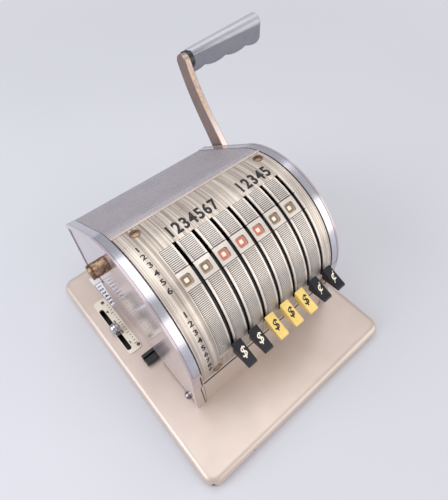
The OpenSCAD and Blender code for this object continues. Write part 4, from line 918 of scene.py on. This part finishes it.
for i in range(LEVERS):
    yellow = 2 <= i <= 4
    x = lever_x(i) + KEY_DX
    cap = plate_along_x(f"key_cap_{i + 1}", key_profile(), x - KEY_W / 2, x + KEY_W / 2,
                        yellow_key if yellow else dark_key)
    round_edges(cap, 0.55, 4)
    body = f"lever_{i + 1}"
    fasten(cap, body, [f"key_{i + 1}"])
    sign = "$" if i < 5 else "¢"
    mark = print_on(f"key_sign_{i + 1}", [(sign, 0.0, 0.0, KEY_SIGN_H)], key_surface(i),
                    black_ink if yellow else cream_ink, 0.016 if yellow else 0.004, 0.88, 0.24)
    fasten(mark, body)


# ---- Release key ----

GROOVE_TOP, GROOVE_FOOT, GROOVE_DEPTH = 2.0, 1.3, 2.6


def release_outline(y0, y1, low, top):
    """Side view of the release key: a block with a groove along its top."""
    middle = (y0 + y1) / 2
    groove = [(middle + GROOVE_TOP, top), (middle + GROOVE_FOOT, top - GROOVE_DEPTH),
              (middle - GROOVE_FOOT, top - GROOVE_DEPTH), (middle - GROOVE_TOP, top)]
    return [(y0, low), (y1, low), (y1, top), *groove, (y0, top)]


low_corner, high_corner = np.array(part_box("release_key")) / MM
outline = release_outline(low_corner[1], high_corner[1], low_corner[2], high_corner[2])
release = plate_along_x("release_key_grooved", outline, low_corner[0], high_corner[0], release_black)
round_edges(release, 0.6, 3)
fasten(release, "release", ["release_key"])


# ---- Handle ----

def arm_outline():
    """Outline of the arm: a middle line that bows as t sin(2 pi t), with a half width that narrows as
    (1 - t) squared, closed by round ends."""
    t = np.linspace(0.0, 1.0, 61)
    middle = ARM_BOW * t * np.sin(2 * math.pi * t)
    half = ARM_R1 + (ARM_R0 - ARM_R1) * (1 - t) ** 2
    lower = np.column_stack([ARM_LEN * t, middle - half])
    upper = np.column_stack([ARM_LEN * t, middle + half])[::-1]
    top = arc((ARM_LEN, 0.0), ARM_R1, -90, 90, 25)[1:-1]
    foot = arc((0.0, 0.0), ARM_R0, 90, 270, 33)[1:-1]
    flat = np.vstack([lower, top, upper, foot])
    turn = math.radians(90 - ARM_LEAN)
    cos, sin = math.cos(turn), math.sin(turn)
    return flat @ np.array([[cos, sin], [-sin, cos]]) + [PIVOT_Y, PIVOT_Z]


arm = plate_along_x("handle_arm_enamelled", arm_outline(), ARM_X, ARM_X + ARM_T, arm_enamel)
round_edges(arm, 1.0, 4)
fasten(arm, "handle", ["handle_arm"])


GRIP_T, GRIP_H, GRIP_R, GRIP_FLAT = (13.0, 18.0), (21.0, 27.0), (6.5, 9.0), (17.1, 19.1)
GRIP_LOW_T, GRIP_END_R, GRIP_SOFT = 9.0, 8.0, 1.6
GRIP_MIDDLE, GRIP_BLEND, FAR_AWAY = (5.6, 12.0), 24, 1e9
LOBES, LOBE_PITCH, LOBE_R, LOBE_SHIFT, LOBE_MOST = 4, 27.3, 36.0, 0.8, 3.0


def grip_mesh(sections=110, rays=96, planes=180):
    """The grip as a tube: at each X its side view is the hull of a large circle at the top of its
    back, a small one at its lower edge and the flat front, cut by finger lobes (arcs of a circle,
    low = R - sqrt(R^2 - x^2)) and by round corners at its free end. A point lies where a ray from
    the middle meets the nearest of these sides; both ends are softened by a quarter circle."""
    round_x = GRIP_LEN - GRIP_END_R
    x = np.concatenate([np.linspace(0.0, GRIP_SOFT, 8), np.linspace(GRIP_SOFT, round_x, sections)[1:],
                        round_x + GRIP_END_R * np.sin(np.linspace(0.0, math.pi / 2, 30)[1:])])
    share = x / GRIP_LEN
    t, h, r, flat = [low + (high - low) * share for low, high in (GRIP_T, GRIP_H, GRIP_R, GRIP_FLAT)]
    low_r = GRIP_LOW_T / 2
    n = np.linspace(0.0, 2 * math.pi, planes, endpoint=False)
    ny, nz = np.cos(n), np.sin(n)
    top_circle = (t - r)[:, None] * ny + (h - r)[:, None] * nz + r[:, None]
    reach = np.maximum(top_circle, low_r * ny + low_r * nz + low_r)
    reach = np.maximum(reach, np.maximum(flat[:, None] * nz, -2.0 * nz))
    middle = GRIP_MIDDLE
    a = np.linspace(0.0, 2 * math.pi, rays, endpoint=False)
    dy, dz = np.cos(a), np.sin(a)
    facing = dy[:, None] * ny + dz[:, None] * nz
    room = reach - (middle[0] * ny + middle[1] * nz)
    with np.errstate(divide="ignore", invalid="ignore"):
        hits = np.where(facing > 1e-3, room[:, None, :] / facing[None], FAR_AWAY)
    length = hits.min(axis=2)
    centres = round_x + LOBE_SHIFT - np.arange(LOBES) * LOBE_PITCH
    lobes = LOBE_R - np.sqrt(np.maximum(LOBE_R ** 2 - (x[:, None] - centres) ** 2, 0.0))
    past = np.maximum(x - GRIP_LEN + GRIP_END_R, 0.0)
    corner = GRIP_END_R - np.sqrt(np.maximum(GRIP_END_R ** 2 - past ** 2, 0.0))
    lowest = np.maximum(np.minimum(lobes.min(axis=1), LOBE_MOST), corner)
    down = np.where(dz < -1e-3, (middle[1] - lowest)[:, None] / np.maximum(-dz, 1e-3), FAR_AWAY)
    back = np.where(dy > 1e-3, (GRIP_T[1] - corner - middle[0])[:, None] / np.maximum(dy, 1e-3), FAR_AWAY)
    length = sum(side ** -GRIP_BLEND for side in (length, down, back)) ** (-1 / GRIP_BLEND)
    near = np.minimum(x, GRIP_LEN - x) / GRIP_SOFT
    inset = GRIP_SOFT * (1 - np.sqrt(1 - (1 - np.clip(near, 0.0, 1.0)) ** 2))
    length = length - inset[:, None]
    y = GRIP_AT[1] + middle[0] + length * dy
    z = GRIP_AT[2] + middle[1] + length * dz
    points = np.stack([np.broadcast_to(GRIP_AT[0] + x[:, None], y.shape), y, z], -1).reshape(-1, 3)
    faces = grid_faces(len(x), rays, False, True).tolist()
    faces += [list(range(rays)), list(range(len(points) - rays, len(points)))[::-1]]
    return points, faces


grip = add_piece("handle_grip_smooth", *grip_mesh(), grip_plastic, sharp=50.0)
tidy_normals(grip)
fasten(grip, "handle", ["handle_grip"])


# ---- Scene ----

def add_camera():
    """The camera of the photograph, at its place, turned by its three axes."""
    data = bpy.data.cameras.new("camera")
    data.sensor_width = 36.0
    data.lens = FOCAL_PX * data.sensor_width / IMAGE_H
    camera = bpy.data.objects.new("camera", data)
    bpy.context.scene.collection.objects.link(camera)
    back = Vector(-CAMERA_LOOK).normalized()
    right = Vector(CAMERA_RIGHT).normalized()
    up = back.cross(right).normalized()
    right = up.cross(back)
    turn = np.eye(4)
    turn[:3, 0], turn[:3, 1], turn[:3, 2] = right, up, back
    turn[:3, 3] = CAMERA_AT * MM
    camera.matrix_world = Matrix(turn.tolist())
    bpy.context.scene.camera = camera


def add_lamp(name, place, target, size, power, colour):
    """A rectangular lamp at a place in metres, aimed at a target."""
    data = bpy.data.lights.new(name, "AREA")
    data.shape = "RECTANGLE"
    data.size, data.size_y = size
    data.energy = power
    data.color = colour
    lamp = bpy.data.objects.new(name, data)
    bpy.context.scene.collection.objects.link(lamp)
    lamp.location = place
    lamp.rotation_euler = (Vector(target) - Vector(place)).to_track_quat("-Z", "Y").to_euler()


BACKDROP = srgb(218, 219, 225)
FLOOR_SIZE = 16.0
LAMP_TARGET = (0.0, 0.0, 0.08)


def floor_finish():
    """Plain pale floor, which fades into the backdrop's even colour away from the object."""
    f = Finish("studio_floor")
    tone = f.patches(700.0, 2.0)
    material = f.finish(f.mix(tone, srgb(204, 204, 209), srgb(198, 198, 204)), 0.7)
    away = f.node("ShaderNodeVectorMath", operation="LENGTH")
    f.put(f.place, away.inputs[0])
    far = f.span(away.outputs["Value"], 0.4, 1.0)
    seen = f.node("ShaderNodeLightPath").outputs["Is Camera Ray"]
    even = f.node("ShaderNodeEmission")
    even.inputs["Color"].default_value = BACKDROP
    choice = f.node("ShaderNodeMixShader")
    f.put(f.times(far, seen), choice.inputs[0])
    f.put(f.shader.outputs[0], choice.inputs[1])
    f.put(even.outputs[0], choice.inputs[2])
    f.put(choice.outputs[0], f.tree.nodes["Material Output"].inputs["Surface"])
    return material


def add_stage():
    """The floor, and a world that lights softly and shows the backdrop's colour to the camera."""
    corners = np.array([[-1, -1, 0], [1, -1, 0], [1, 1, 0], [-1, 1, 0]]) * FLOOR_SIZE / MM / 2
    floor = add_piece("floor", corners, [[0, 1, 2, 3]], floor_finish(), smooth=False)
    world = bpy.data.worlds.new("studio")
    bpy.context.scene.world = world
    world.use_nodes = True
    tree = world.node_tree
    soft, shown = tree.nodes["Background"], tree.nodes.new("ShaderNodeBackground")
    soft.inputs["Color"].default_value = (0.93, 0.95, 1.0, 1.0)
    soft.inputs["Strength"].default_value = 0.5
    shown.inputs["Color"].default_value = BACKDROP
    rays, choice = tree.nodes.new("ShaderNodeLightPath"), tree.nodes.new("ShaderNodeMixShader")
    tree.links.new(rays.outputs["Is Camera Ray"], choice.inputs[0])
    tree.links.new(soft.outputs[0], choice.inputs[1])
    tree.links.new(shown.outputs[0], choice.inputs[2])
    tree.links.new(choice.outputs[0], tree.nodes["World Output"].inputs[0])


add_camera()
add_stage()
add_lamp("window_front", (0.75, -1.25, 0.55), LAMP_TARGET, (1.7, 1.1), 11.5, (1.0, 0.97, 0.93))
add_lamp("window_left", (-1.3, 0.35, 0.85), LAMP_TARGET, (1.3, 1.0), 15.0, (0.92, 0.95, 1.0))
add_lamp("ceiling", (0.1, 0.2, 1.6), (0.0, 0.0, 0.05), (1.6, 1.6), 14.0, (1.0, 1.0, 1.0))

bpy.context.scene.view_settings.view_transform = "Standard"
